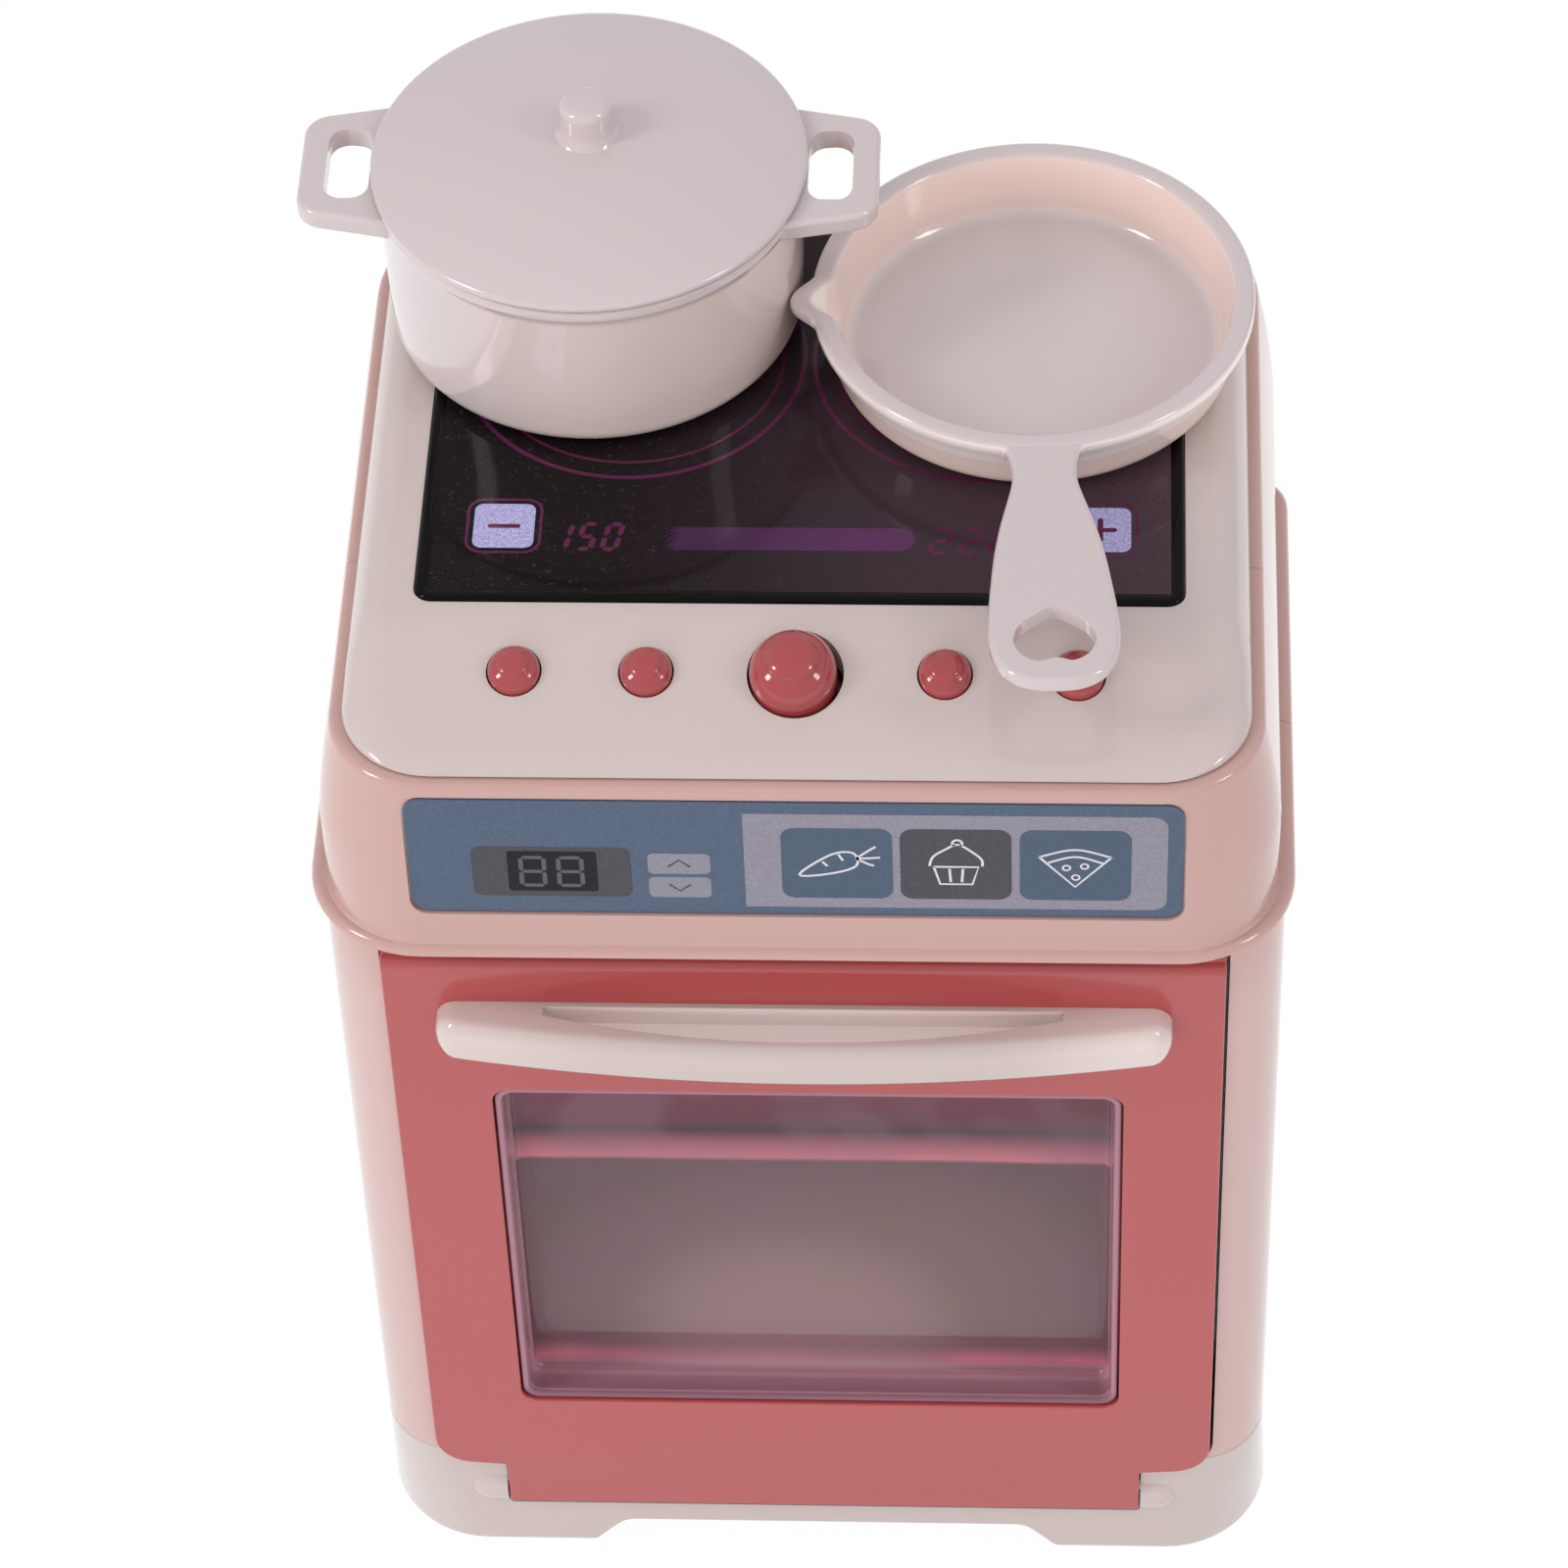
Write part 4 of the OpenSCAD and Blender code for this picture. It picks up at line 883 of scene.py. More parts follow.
def build_shells(sizes):
    corners = arc(-63.2, 33.1, 7.2, 180, 270) + arc(63.6, 33.1, 7.2, 270, 360)
    corners += arc(70.2, LIP_Z - 0.6, 0.6, 0, 90, 2) + arc(-69.8, LIP_Z - 0.6, 0.6, 90, 180, 2)
    recess = front_prism(corners, 50.9, 110)
    oven_mouth = front_prism(rounded(-56.3, 41.7, 56.3, 108.3, 1.5, 4), 40, 60)
    strip = front_prism(rounded(-62.8, 187.4, 62.8, 215.0, 3.2), 0, 10, HEAD_FRONT + 0.9)
    hollow = Shape().loft([level(plan(152, -48.9, 61.5, 2, 18), z) for z in (20, 176.0, 177.9)])
    narrowing = ((180.6, 0), (196, 0), (214.8, 6))
    attic = Shape().loft([level(plan(150 - s, -69.5, 61.5, 14, 18), z) for z, s in narrowing])
    top_mouth = Shape().loft([level(plan(141.6, -66.6, 58.9, 13, 17), z) for z in (176, 230)])
    grille, pitch, outwards = Shape(), 4.2, on_front(0)
    spots = [(0, 0)]
    for ring in (1, 2):
        turns = [math.radians(60 * i / ring) for i in range(6 * ring)]
        spots += [(pitch * ring * math.cos(t), pitch * ring * math.sin(t)) for t in turns]
    for u, v in spots:
        grille.prism(circle(-40 + u, 70 + v, 1.1, 16), -70, -55, outwards)
    wells, posts = Shape(), Shape()
    for x, z in SHELL_SCREWS:
        wells.prism(circle(x, z, 3.0, 24), -70, -56, outwards)
        posts.prism(circle(x, z, 3.4, 24), -56, -46, outwards)
        posts.prism(circle(x, z, 3.0, 24), -45.6, 48.8, outwards)
    battery_bay = front_prism(rounded(-29.3, 110.7, 29.3, 181.1, 1.2, 4), -70, -55)
    for word, front, cuts in (
        ("front", True, (recess, oven_mouth, strip)),
        ("rear", False, (grille, wells, battery_bay)),
    ):
        body, lip, head = body_block()
        shell = body.object(f"body_{word}")
        steps = [("UNION", lip), ("UNION", head), *less(hollow, attic, top_mouth, *cuts)]
        carve(shell, *steps, ("INTERSECT", half(front)))
        soften(shell, sizes.edge, 2, 40)
        finished(shell, "housing", "pink_gloss", "pink", f"{word}_shell")
    finished(posts.object("screw_posts"), "housing", "pink_gloss", "pink")


def build_base():
    rings = []
    for z, flare, inset in BASE_SIDE:
        outline = plan(160 + 2 * flare, FRONT, BACK, 12.5 + 6 * flare, 20, inset=inset)
        rings.append(level(outline, z))
    base = Shape().loft(rings).object("base_skirt")
    inside = Shape().loft([level(plan(156, -50.9, 62, 2, 18), z) for z in (-1, 40)])
    front_inside = Shape().loft([level(plan(150, -62, -49, 9, 0.5), z) for z in (-1, 10.4)])
    side = [(44.8, -0.2), (43.0, 0.6), (38.4, 5.8), (36.2, 7.3), (33.5, 7.5)]
    side = smooth_path(side, 4)
    arch = [(-x, z) for x, z in side] + side[::-1] + [(44.8, -3), (-44.8, -3)]
    under = front_prism(arch, 45, 80)
    door_gap = front_prism(rounded(-70.5, 25.9, 70.9, 60, 7.2), 48.5, 80)
    tab_gap = front_prism(rounded(-57.9, 12.5, 57.9, 40, 0.8, 3), 56.0, 80)
    carve(base, *less(inside, front_inside, under, door_gap, tab_gap))
    bosses = Shape()
    for side in (-1, 1):
        ends = [(side * x, circle(-60.6, 17.2, r, 36)) for x, r in BOSS_SIDE]
        bosses.loft([[(x, y, z) for y, z in end] for x, end in ends])
    carve(base, ("UNION", bosses))
    soften(base, 0.45, 3, 42)
    finished(base, "housing", "cream_gloss", "cream", "base_shell")


# ---------------------------------------------------------------- top

PANEL_BEND = -38.2  # the panel's face starts to fall here
# Edge of the hob: height and inset
HOB_SIDE = (
    (223.4, 0.3), (223.7, 0), (225.45, 0), (225.8, 0.12), (225.98, 0.5), (HOB_TOP, 0.9),
    (HOB_TOP, 1.5), (225.9, 1.8), (HOB_FIELD, 2.1),
)
# Foot of a button under the panel: radius and height
FOOT_SIDE = [(1.0, 216.1), (1.8, 216.1), (1.8, 216.85)]
# Its collar: how far it stands out past the cap, and height
COLLAR_SIDE = ((0.85, 216.85), (0.85, 218.0), (0, 218.0))
# Side of a button's top, as parts of its radius and of its height
CAP_SIDE = (
    (1.0, 0.0), (0.998, 0.08), (0.99, 0.17), (0.972, 0.26), (0.945, 0.35), (0.905, 0.44),
    (0.85, 0.53), (0.79, 0.605), (0.73, 0.66), (0.67, 0.7), (0.63, 0.722), (0.607, 0.745),
    (0.597, 0.78), (0.59, 0.83), (0.57, 0.88), (0.53, 0.925), (0.46, 0.96), (0.36, 0.985),
    (0.22, 0.997), (0.08, 1.0), (0.0, 1.0),
)


def face_z(y):
    """Height of the top panel's face, which falls in front of the hob."""
    u = max(PANEL_BEND - y, 0.0)
    if u < 8.0:
        return PANEL_Z - FALL * u * u / 16
    return PANEL_Z - FALL * (u - 4.0) - 0.0287 * max(u - 26.8, 0.0) ** 2


def top_side(inset):
    """Right half of the panel's outline, from the rear to the front, in rows over the bend."""
    rear, front = 19.0 - inset, 15.5 - inset
    bend = [(73.3 - inset, PANEL_BEND - 8.0 * i / 10) for i in range(11)]
    return arc(54.3, 43.2, rear, 90, 0, 12) + bend + arc(57.8, -54.0, front, 0, -90, 14)


def top_ring(inset, turn, drop=None):
    """One ring of the rolled edge; the roll is full at the sides and slight at the front."""
    ring, low = [], HEAD_TOP + 0.4
    side = top_side(inset)
    for x, y in side + mirrored(side):
        a, b = max(abs(x) - 57.8, 0.0), max(-54.0 - y, 0.0)
        forward = b * b / max(a * a + b * b, 1e-6)
        z = low + (face_z(y) - low) * turn ** (1 - 0.88 * forward)
        ring.append((x, y, z if drop is None else drop))
    return ring


def build_top(sizes):
    # A narrow groove parts the panel from the head
    groove = ((0.7, HEAD_TOP - 0.06), (0.7, HEAD_TOP + 0.26), (0.15, HEAD_TOP + 0.3))
    rings = [top_ring(inset, 1.0, z) for inset, z in groove] + [top_ring(0.0, 0.0)]
    for t in [math.radians(a) for a in range(9, 91, 9)]:
        rings.append(top_ring(6.6 * (1 - math.cos(t)), math.sin(t)))
    solid = Shape().loft(rings, last=False)
    first, count = len(solid.points) - len(rings[0]), len(rings[0])
    for i in range(count // 2 - 1):
        a, b = first + i, first + count - 1 - i
        solid.faces.append((a, a + 1, b - 1, b))
    panel = solid.object("top_cream")
    holes = Shape()
    for x, y, r in sizes.holes():
        holes.prism(circle(x, y, r, 60), 210, 240)
    seat = Shape().prism(plan(125.1, -38.35, 52.65, 3, 3, 6), 222.0, 240)
    attic = [level(plan(140, -42, 58.8, 3, 15), z) for z in (200, 219)]
    attic += [level(plan(134, -41.4, 55.8, 3, 13), 223.2)]
    low = Shape().prism(plan(110, -62.3, -41.8, 2, 2, 3), 200, 218.4)
    high = Shape().prism(plan(110, -54.5, -41.9, 2, 2, 3), 200, 220.2)
    carve(panel, *less(Shape().loft(attic), low, high, seat, holes))
    with editing(panel.data) as edit:
        near_flat = math.radians(0.4)
        bmesh.ops.dissolve_limit(edit, angle_limit=near_flat, verts=edit.verts, edges=edit.edges)
    soften(panel, 0.4, 3, 40)
    finished(panel, "housing", "cream_gloss", "cream", "top_panel")
    under = Shape()
    under.loft([level(plan(128.4, -40.1, 54.4, 4, 4), z) for z in (220.9, 223.3)])
    for x in (-34.6, 34.6, -12.4, 12.4):
        under.spin([(0, 0), (2.6, 0), (2.6, 9.3), (0, 9.3)], (x, BUTTON_Y, 211.5), 24)
    finished(under.object("top_underside"), "housing", "cream_gloss", "cream")


def build_hob():
    levels = [level(plan(124.8, -38.2, 52.5, 2.8, 2.8, 8, inset=i), z) for z, i in HOB_SIDE]
    hob = Shape().loft(levels).object("hob_black_plate")
    finished(hob, "housing", "hob_black", "hob_black", "hob_plate", sharp=60)

    def place(u, v, w):
        return u, v, HOB_FIELD + w

    low, high = -0.05, 0.025
    lines = Shape()
    for cx in (-RING_X, RING_X):
        for radius, width in ((28.7, 0.75), (25.2, 0.5)):
            stroke(lines, circle(cx, RING_Y, radius, 144), width, low, high, place, closed=True)
    for x in (-TILE_X, TILE_X):
        frame_line = rounded(x - 6.0, -27.5, x + 6.0, -15.5, 2.6)
        stroke(lines, frame_line, 0.5, low, high, place, closed=True)
    lines.prism(rounded(-26.9, -26.7, 18.6, -21.5, 2.55), low, high, place)
    digits(lines, "150", (-41.2, -27.1), (3.2, 6.6), 0.95, low, high, place, 0.18, 0.9)
    digits(lines, "220", (20.4, -27.6), (3.7, 6.4), 0.95, low, high, place, 0.18, 1.1)
    ink(lines, "hob_print", "print_purple", "hob_black")
    tiles, signs = Shape(), Shape()
    for x in (-TILE_X, TILE_X):
        tiles.prism(rounded(x - 5.0, -26.5, x + 5.0, -16.5, 1.5), low, 0.03, place)
        signs.prism(rounded(x - 2.7, -22.0, x + 2.7, -21.1, 0.4, 3), 0.02, 0.045, place)
    signs.prism(rounded(48.25, -24.2, 49.15, -18.9, 0.4, 3), 0.02, 0.05, place)
    ink(tiles, "hob_tiles", "print_lilac", "hob_black")
    ink(signs, "hob_signs", "print_purple", "hob_black")


def build_buttons(sizes):
    names = ["left_outer", "left_inner", "middle", "right_inner", "right_outer"]
    cos_tilt, sin_tilt = math.cos(math.atan(FALL)), math.sin(math.atan(FALL))
    turns = [math.radians(5 * i) for i in range(72)]
    for name, (x, y, hole) in zip(names, sizes.holes()):
        if name == "middle":
            x, r, height = x - 0.35, hole - 0.7, 6.6
        else:
            r, height = hole - sizes.gap, 3.0
        face = face_z(y)
        foot = FOOT_SIDE + [(r + more, z) for more, z in COLLAR_SIDE]
        rings = [
            level([(x + q * math.cos(t), y + q * math.sin(t)) for t in turns], z)
            for q, z in foot
        ]
        for part, up in CAP_SIDE:
            ring = []
            for t in turns:
                across, along = part * r * math.cos(t), part * r * math.sin(t)
                along *= 1 / cos_tilt * (1 - up) + up
                out = up * height
                forward = along * cos_tilt - out * sin_tilt
                ring.append((x + across, y + forward, face + along * sin_tilt + out * cos_tilt))
            rings.append(ring)
        cap = Shape().loft(rings).object(f"button_{name}_cap")
        node = f"button_{name}"
        finished(cap, node, "button_coral", "coral", node, sharp=50, weighted=False)


# ---------------------------------------------------------------- control strip


def build_strip():
    face = HEAD_FRONT + 0.4
    plate = front_prism(rounded(-62.5, 187.7, 62.5, 214.7, 3.0), -0.5, 0.0, face)
    plate = plate.object("strip_plate")
    soften(plate, 0.12, 2, 40)
    finished(plate, "housing", "strip_blue", "strip_blue", "control_strip")
    place = on_front(face)

    def layer(name, finish, outline, low, high):
        ink(Shape().prism(outline, low, high, place), name, finish, "strip_blue")

    right = arc(57.4, 192.1, 2.5, 270, 360, 8) + arc(57.4, 209.6, 2.5, 0, 90, 8)
    right = [(-8.1, 189.6)] + right + [(-8.1, 212.1)]
    layer("strip_right_field", "strip_grey", right, -0.1, 0.03)
    rim = rounded(-52.2, 191.7, -26.4, 203.6, 1.6)
    layer("strip_display_frame", "strip_dark", rim, -0.1, 0.03)
    layer("strip_display", "strip_display", rounded(-46.4, 193.0, -31.9, 202.6, 0.5, 3), 0.0, 0.05)
    figures = digits(Shape(), "88", (-44.6, 194.0), (4.5, 7.5), 0.75, 0.03, 0.07, place, gap=1.6)
    ink(figures, "strip_display_figures", "strip_segment", "strip_blue")
    keys, marks = Shape(), Shape()
    for z, way in ((197.4, 1), (191.7, -1)):
        keys.prism(rounded(-23.7, z, -13.6, z + 4.9, 1.0, 5), -0.1, 0.03, place)
        tip, foot = z + 2.45 + way * 0.9, z + 2.45 - way * 0.7
        chevron = [(-20.4, foot), (-18.65, tip), (-16.9, foot)]
        stroke(marks, chevron, 0.38, 0.0, 0.06, place)
    ink(keys, "strip_keys", "strip_key", "strip_blue")
    ink(marks, "strip_key_marks", "strip_mark", "strip_blue")
    blue, dark = Shape(), Shape()
    for target, x in ((blue, -2.1), (dark, 17.0), (blue, 36.2)):
        target.prism(rounded(x, 191.9, x + 17.9, 208.8, 2.2), 0.0, 0.06, place)
    ink(blue, "strip_tiles_blue", "strip_tile", "strip_blue")
    ink(dark, "strip_tile_dark", "strip_dark", "strip_blue")
    ink(tile_pictures(place), "strip_pictures", "strip_line", "strip_blue")


def tile_pictures(place):
    """Line drawings of a carrot, a cup cake and a slice of pizza."""
    lines, middle = Shape(), 200.2

    def draw(points, cx, smooth=0, closed=False, width=0.42):
        """Draws points given from the middle of a tile at cx; smooth is the curve's steps."""
        path = [(cx + u, middle + v) for u, v in points]
        if smooth:
            path = smooth_path(path, smooth, closed)
        stroke(lines, path, width, 0.04, 0.09, place, closed)

    carrot, cake, pizza = 6.9, 26.0, 45.1
    draw([(-6.2, -2.6), (-1.0, 2.3), (2.6, 2.7), (3.0, -0.4), (-1.2, -2.3)], carrot, 5, True)
    for u, v in ((6.2, 4.3), (6.9, 1.7), (5.9, -0.3)):
        draw([(3.0, 1.4), (3.4 + (u - 3.4) * 0.6, 1.2 + (v - 1.2) * 0.7), (u, v)], carrot)
    draw([(-2.4, 0.6), (-1.6, -0.5)], carrot)
    draw([(0.2, 2.4), (0.9, 0.9)], carrot)

    draw([(-3.6, -0.4), (-2.6, -4.6), (2.6, -4.6), (3.6, -0.4), (-3.6, -0.4)], cake)
    icing = [(-4.3, -0.2), (-3.7, 2.0), (-1.6, 3.9), (0.3, 5.0), (2.6, 3.2), (4.1, 1.4)]
    draw(icing + [(4.2, -0.2)], cake, 4)
    draw(arc(0.2, 5.3, 0.8, -60, 240), cake)
    for u in (-1.2, 1.2):
        draw([(u * 0.9, -0.9), (u * 0.75, -4.1)], cake)

    draw([(-5.8, 2.2), (0, 4.0), (5.8, 2.2)], pizza, 6)
    draw([(-5.8, 2.2), (0, -5.0), (5.8, 2.2)], pizza)
    draw([(-4.4, 0.8), (0, 2.3), (4.4, 0.8)], pizza, 6)
    for u, v in ((-1.4, -0.4), (1.5, 0.0), (0.1, -2.7)):
        draw(arc(u, v, 0.62, 0, 320, 8), pizza, closed=True, width=0.34)
    return lines


# ---------------------------------------------------------------- door

# Side of the window tray: inset, y and corner radius, from its rear edge round to its pane
TRAY_SIDE = (
    (1.6, -56.45, 2.4), (0.9, -56.6, 2.8), (0.6, -57.2, 3.0), (0.05, -63.0, 3.0),
    (0.05, -64.6, 3.0), (0.3, -64.9, 2.8), (0.75, -65.0, 2.5), (1.15, -64.8, 2.3),
    (1.35, -64.3, 2.2), (1.6, -59.6, 2.2), (1.8, -58.7, 2.2), (2.3, -58.1, 2.2),
    (3.1, -57.85, 2.2), (4.3, -57.8, 2.0),
)
# Finger pocket behind the handle: height, half its length, and its reach at the ends and more
POCKET_LEVELS = (
    (153.0, 39.5, 2.2, 2.9), (153.6, 41.2, 2.7, 4.2),
    (155.2, 42.9, 2.9, 5.0), (158.0, 43.6, 2.9, 5.5),
)


def build_door():
    half_side = [(57.6, 14.7), (57.6, 25.9)]
    half_side += arc(63.2, 33.4, 7.0, 270, 360, 8) + arc(63.7, 169.5, 6.5, 0, 90, 8)
    door = front_prism(half_side + mirrored(half_side), -8.0, 0.0, DOOR_FRONT)
    door = door.object("door_coral")
    window = front_prism(rounded(-53.6, 45.7, 53.6, 133.8, 3.0), -20, 10, DOOR_FRONT)
    hollow = front_prism(rounded(-67.5, 29, 67.5, 173, 4.0), -12, -2.4, DOOR_FRONT)
    # A rounded ledge under the head
    deep, foot = 1.9, 165.4
    turns = [math.radians(a) for a in range(0, 91, 10)]
    ledge = [(DOOR_FRONT + deep - deep * math.cos(t), foot + deep * math.sin(t)) for t in turns]
    ledge += [(DOOR_FRONT + deep, 190), (-75, 190), (-75, foot)]
    step = Shape().prism(ledge, -80, 80, lambda u, v, w: (w, u, v))
    carve(door, *less(hollow, window, step))
    soften(door, 0.75, 4, 42)
    finished(door, "door", "coral_gloss", "coral", "door_shell")

    back = front_prism(rounded(-70.0, 26.6, 70.0, 175.8, 6.5), -13.6, -8.05, DOOR_FRONT)
    back = back.object("door_back_frame")
    seat = front_prism(rounded(-53.9, 45.3, 53.9, 134.2, 3.0), -11.6, 0, DOOR_FRONT)
    view = front_prism(rounded(-49.8, 48.6, 49.8, 102.2, 3.0), -20, 0, DOOR_FRONT)
    rib = front_prism(rounded(-51.5, 102.6, 51.5, 110.0, 1.4), -13.0, -10.4, DOOR_FRONT)
    wells = Shape()
    for x in (-62, 62):
        for z in (38, 142):
            wells.prism(circle(x, z, 2.9, 24), -20, -11.0, on_front(DOOR_FRONT))
    carve(back, *less(seat), ("UNION", rib), *less(view, wells))
    soften(back, 0.5, 3, 42)
    finished(back, "door", "coral_gloss", "coral", "door_inner_frame")

    rings = []
    for inset, y, radius in TRAY_SIDE:
        x, z0, z1 = 53.4 - inset, 45.9 + inset, 133.6 - inset
        rings.append([(u, y, v) for u, v in rounded(-x, z0, x, z1, radius)])
    tray = Shape().loft(rings).object("window_tray")
    finished(tray, "door", "smoky_clear", "smoky", "window_pane", sharp=70)


def build_handle(sizes):
    """The bowed cream handle with its finger pocket."""
    half_w, low, high, corner = sizes.handle / 2, 149.0, 157.3, 3.6
    rings = []
    for i in range(61):
        x = half_w * math.sin((-1 + 2 * i / 60) * math.pi / 2)
        edge = half_w - abs(x)
        shrink, ease = 0.0, 1.0
        if edge < corner:
            shrink = corner - math.sqrt(max(corner**2 - (corner - edge) ** 2, 0.0))
        if edge < 3.0:
            ease = math.sqrt(max(1 - (1 - edge / 3.0) ** 2, 0.0))
        reach = 6.0 + 5.4 * (1 - (x / half_w) ** 2)
        front = 0.35 + (reach - 0.35) * (0.45 + 0.55 * ease)
        z0, z1 = low + shrink, high - shrink
        span = max(z1 - z0, 0.05)
        r = min(2.0, span * 0.42, front * 0.45)
        t = min(3.2, span * 0.52, front * 0.6)
        section = [(0.0, z0), (front - r, z0)] + arc(front - r, z0 + r, r, -80, 0, 7)
        section += arc(front - t, z1 - t, t, 0, 80, 9) + [(front - t, z1), (0.0, z1)]
        rings.append([(x, DOOR_FRONT - u, v) for u, v in section])
    handle = Shape().loft(rings).object("door_handle_bar")
    levels, turns = [], [math.radians(a) for a in range(-90, 91, 6)]
    for z, half_l, near, more in POCKET_LEVELS:
        bow = [
            (half_l * math.sin(t), DOOR_FRONT - near - more * math.cos(t) ** 2) for t in turns
        ]
        levels.append(level(bow + [(half_l, DOOR_FRONT - 0.9), (-half_l, DOOR_FRONT - 0.9)], z))
    carve(handle, *less(Shape().loft(levels)))
    soften(handle, 0.45, 4, 40)
    finished(handle, "door", "handle_cream", "cream", "door_handle")


# ---------------------------------------------------------------- cookware

TURN_IN = [math.radians(a) for a in range(15, 91, 15)]


def heel(foot, radius):
    """Outside of a pan where its foot turns up into the wall."""
    return [(foot + radius * math.sin(t), radius * (1 - math.cos(t)) + 0.05) for t in TURN_IN]


def floor_edge(middle, height, radius):
    """Inside of a pan where its wall turns into the floor, and the floor's middle."""
    bend = [(middle + radius * math.cos(t), height - radius * math.sin(t)) for t in TURN_IN]
    return bend + [(0, 1.8)]


# Sides of the cookware from the middle of the foot outwards: radius and height
POT_OUTSIDE = [(0, 0.25), (30.0, 0.25), (30.8, 0.0), (31.6, 0.05)] + heel(31.6, 3.1)
POT_OUTSIDE += [
    (34.95, 12), (35.2, 27.6), (35.35, 28.8), (35.7, 29.2), (35.8, 29.7), (35.8, 30.9),
    (35.55, 31.4), (35.1, 31.5),
]
POT_INSIDE = [(34.0, 31.5), (33.6, 31.2), (33.5, 30.6), (33.3, 12), (33.2, 5.0)]
POT_INSIDE += floor_edge(30.2, 4.8, 3.0)
LID_EDGE = [
    (0, 4.0), (20, 3.0), (31.4, 0.9), (31.5, -1.9), (33.0, -1.9), (33.05, 0.0), (35.9, 0.0),
    (36.15, 0.15), (36.2, 0.5), (36.2, 1.0), (36.05, 1.3), (35.6, 1.5),
]
KNOB_SIDE = ((6.2, 0), (5.6, 0.35), (5.0, 0.9), (4.55, 1.8), (4.4, 3.2), (4.3, 5.6))
PAN_OUTSIDE = [(28.8, 0.2), (29.4, 0.0), (30.2, 0.05)] + heel(30.2, 3.6)
PAN_OUTSIDE += [
    (34.6, 7.6), (35.25, 10.1), (35.5, 10.5), (36.3, 10.75), (36.75, 11.2), (36.8, 12.4),
    (36.5, 13.0), (36.0, 13.2),
]
PAN_INSIDE = [(34.2, 13.2), (33.5, 12.95), (33.2, 12.4), (32.6, 8.0), (31.9, 5.3)]
PAN_INSIDE += floor_edge(28.9, 4.7, 2.9)[:-1]
# Right side of the frying pan's handle, from the bowl to its end
PAN_HANDLE = [
    (8.6, -33.6), (6.9, -35.9), (5.7, -38.2), (5.3, -41.5), (5.4, -44.0), (6.2, -47.5),
    (7.7, -53.5), (8.9, -60.0), (9.8, -67.5), (10.4, -74.0), (10.45, -78.8), (9.6, -83.0),
    (7.4, -86.3), (4.0, -88.1), (0.0, -88.5),
]
# Left half of the heart-shaped hole in it, from its lobe to its tip
HEART = [(-3.2, 5.6), (-5.5, 3.4), (-6.6, 0.3), (-5.4, -2.8), (-2.9, -4.4), (-0.7, -3.8)]


def build_saucepan():
    finish = ("cookware_cream", "cookware_cream")
    pot = moved(Shape().spin(POT_OUTSIDE + POT_INSIDE, steps=144), POT_X, POT_Y, HOB_TOP)
    pot = pot.object("saucepan_body")
    finished(pot, "saucepan", *finish, "saucepan", sharp=50, weighted=False)
    path = [(31.3, -14.7), (33.4, -14.5), (38.0, -13.5)] + arc(43.3, -7.6, 4.75, -78, -2, 8)
    path += arc(43.3, 7.6, 4.75, 2, 78, 8) + [(38.0, 13.5), (33.4, 14.5), (31.3, 14.7)]
    hole = arc(39.4, -5.3, 3.1, -180, -92, 8) + arc(40.5, -5.3, 3.2, -88, -2, 8)
    hole += arc(40.5, 5.3, 3.2, 2, 88, 8) + arc(39.4, 5.3, 3.1, 92, 180, 8)
    for side, word in ((-1, "left"), (1, "right")):
        loop = bevelled_plate(resampled(path, 120), 27.5, 31.25, 0.9)
        cut = Shape().prism(hole, 20, 40)
        for part in (loop, cut):
            part.points = [(side * x, side * y, z) for x, y, z in part.points]
            moved(part, POT_X, POT_Y, HOB_TOP)
        made = loop.object(f"saucepan_loop_{word}")
        carve(made, *less(cut))
        soften(made, 0.75, 4, 50)
        finished(made, "saucepan", *finish, sharp=60)

    lid, rim, crown = list(LID_EDGE), 35.6, 5.5
    for i in range(1, 13):
        r = rim * (1 - i / 12)
        lid.append((r, 1.5 + crown * (1 - (r / rim) ** 2) ** 0.92))
    centre = (POT_X, POT_Y, HOB_TOP + 31.6)
    disc = Shape().spin(lid, centre, 144).object("saucepan_lid_disc")
    finished(disc, "saucepan_lid", *finish, "saucepan_lid", sharp=55, weighted=False)
    k = 6.3
    knob = [(0, k)] + [(r, k + h) for r, h in KNOB_SIDE]
    for t in [math.radians(a) for a in range(10, 91, 16)]:
        knob.append((2.9 + 1.4 * math.cos(t), k + 5.9 + 1.4 * math.sin(t)))
    knob += [(1.5, k + 7.45), (0, k + 7.5)]
    knob = Shape().spin(knob, centre, 64).object("saucepan_lid_knob")
    finished(knob, "saucepan_lid", *finish, sharp=60, weighted=False)


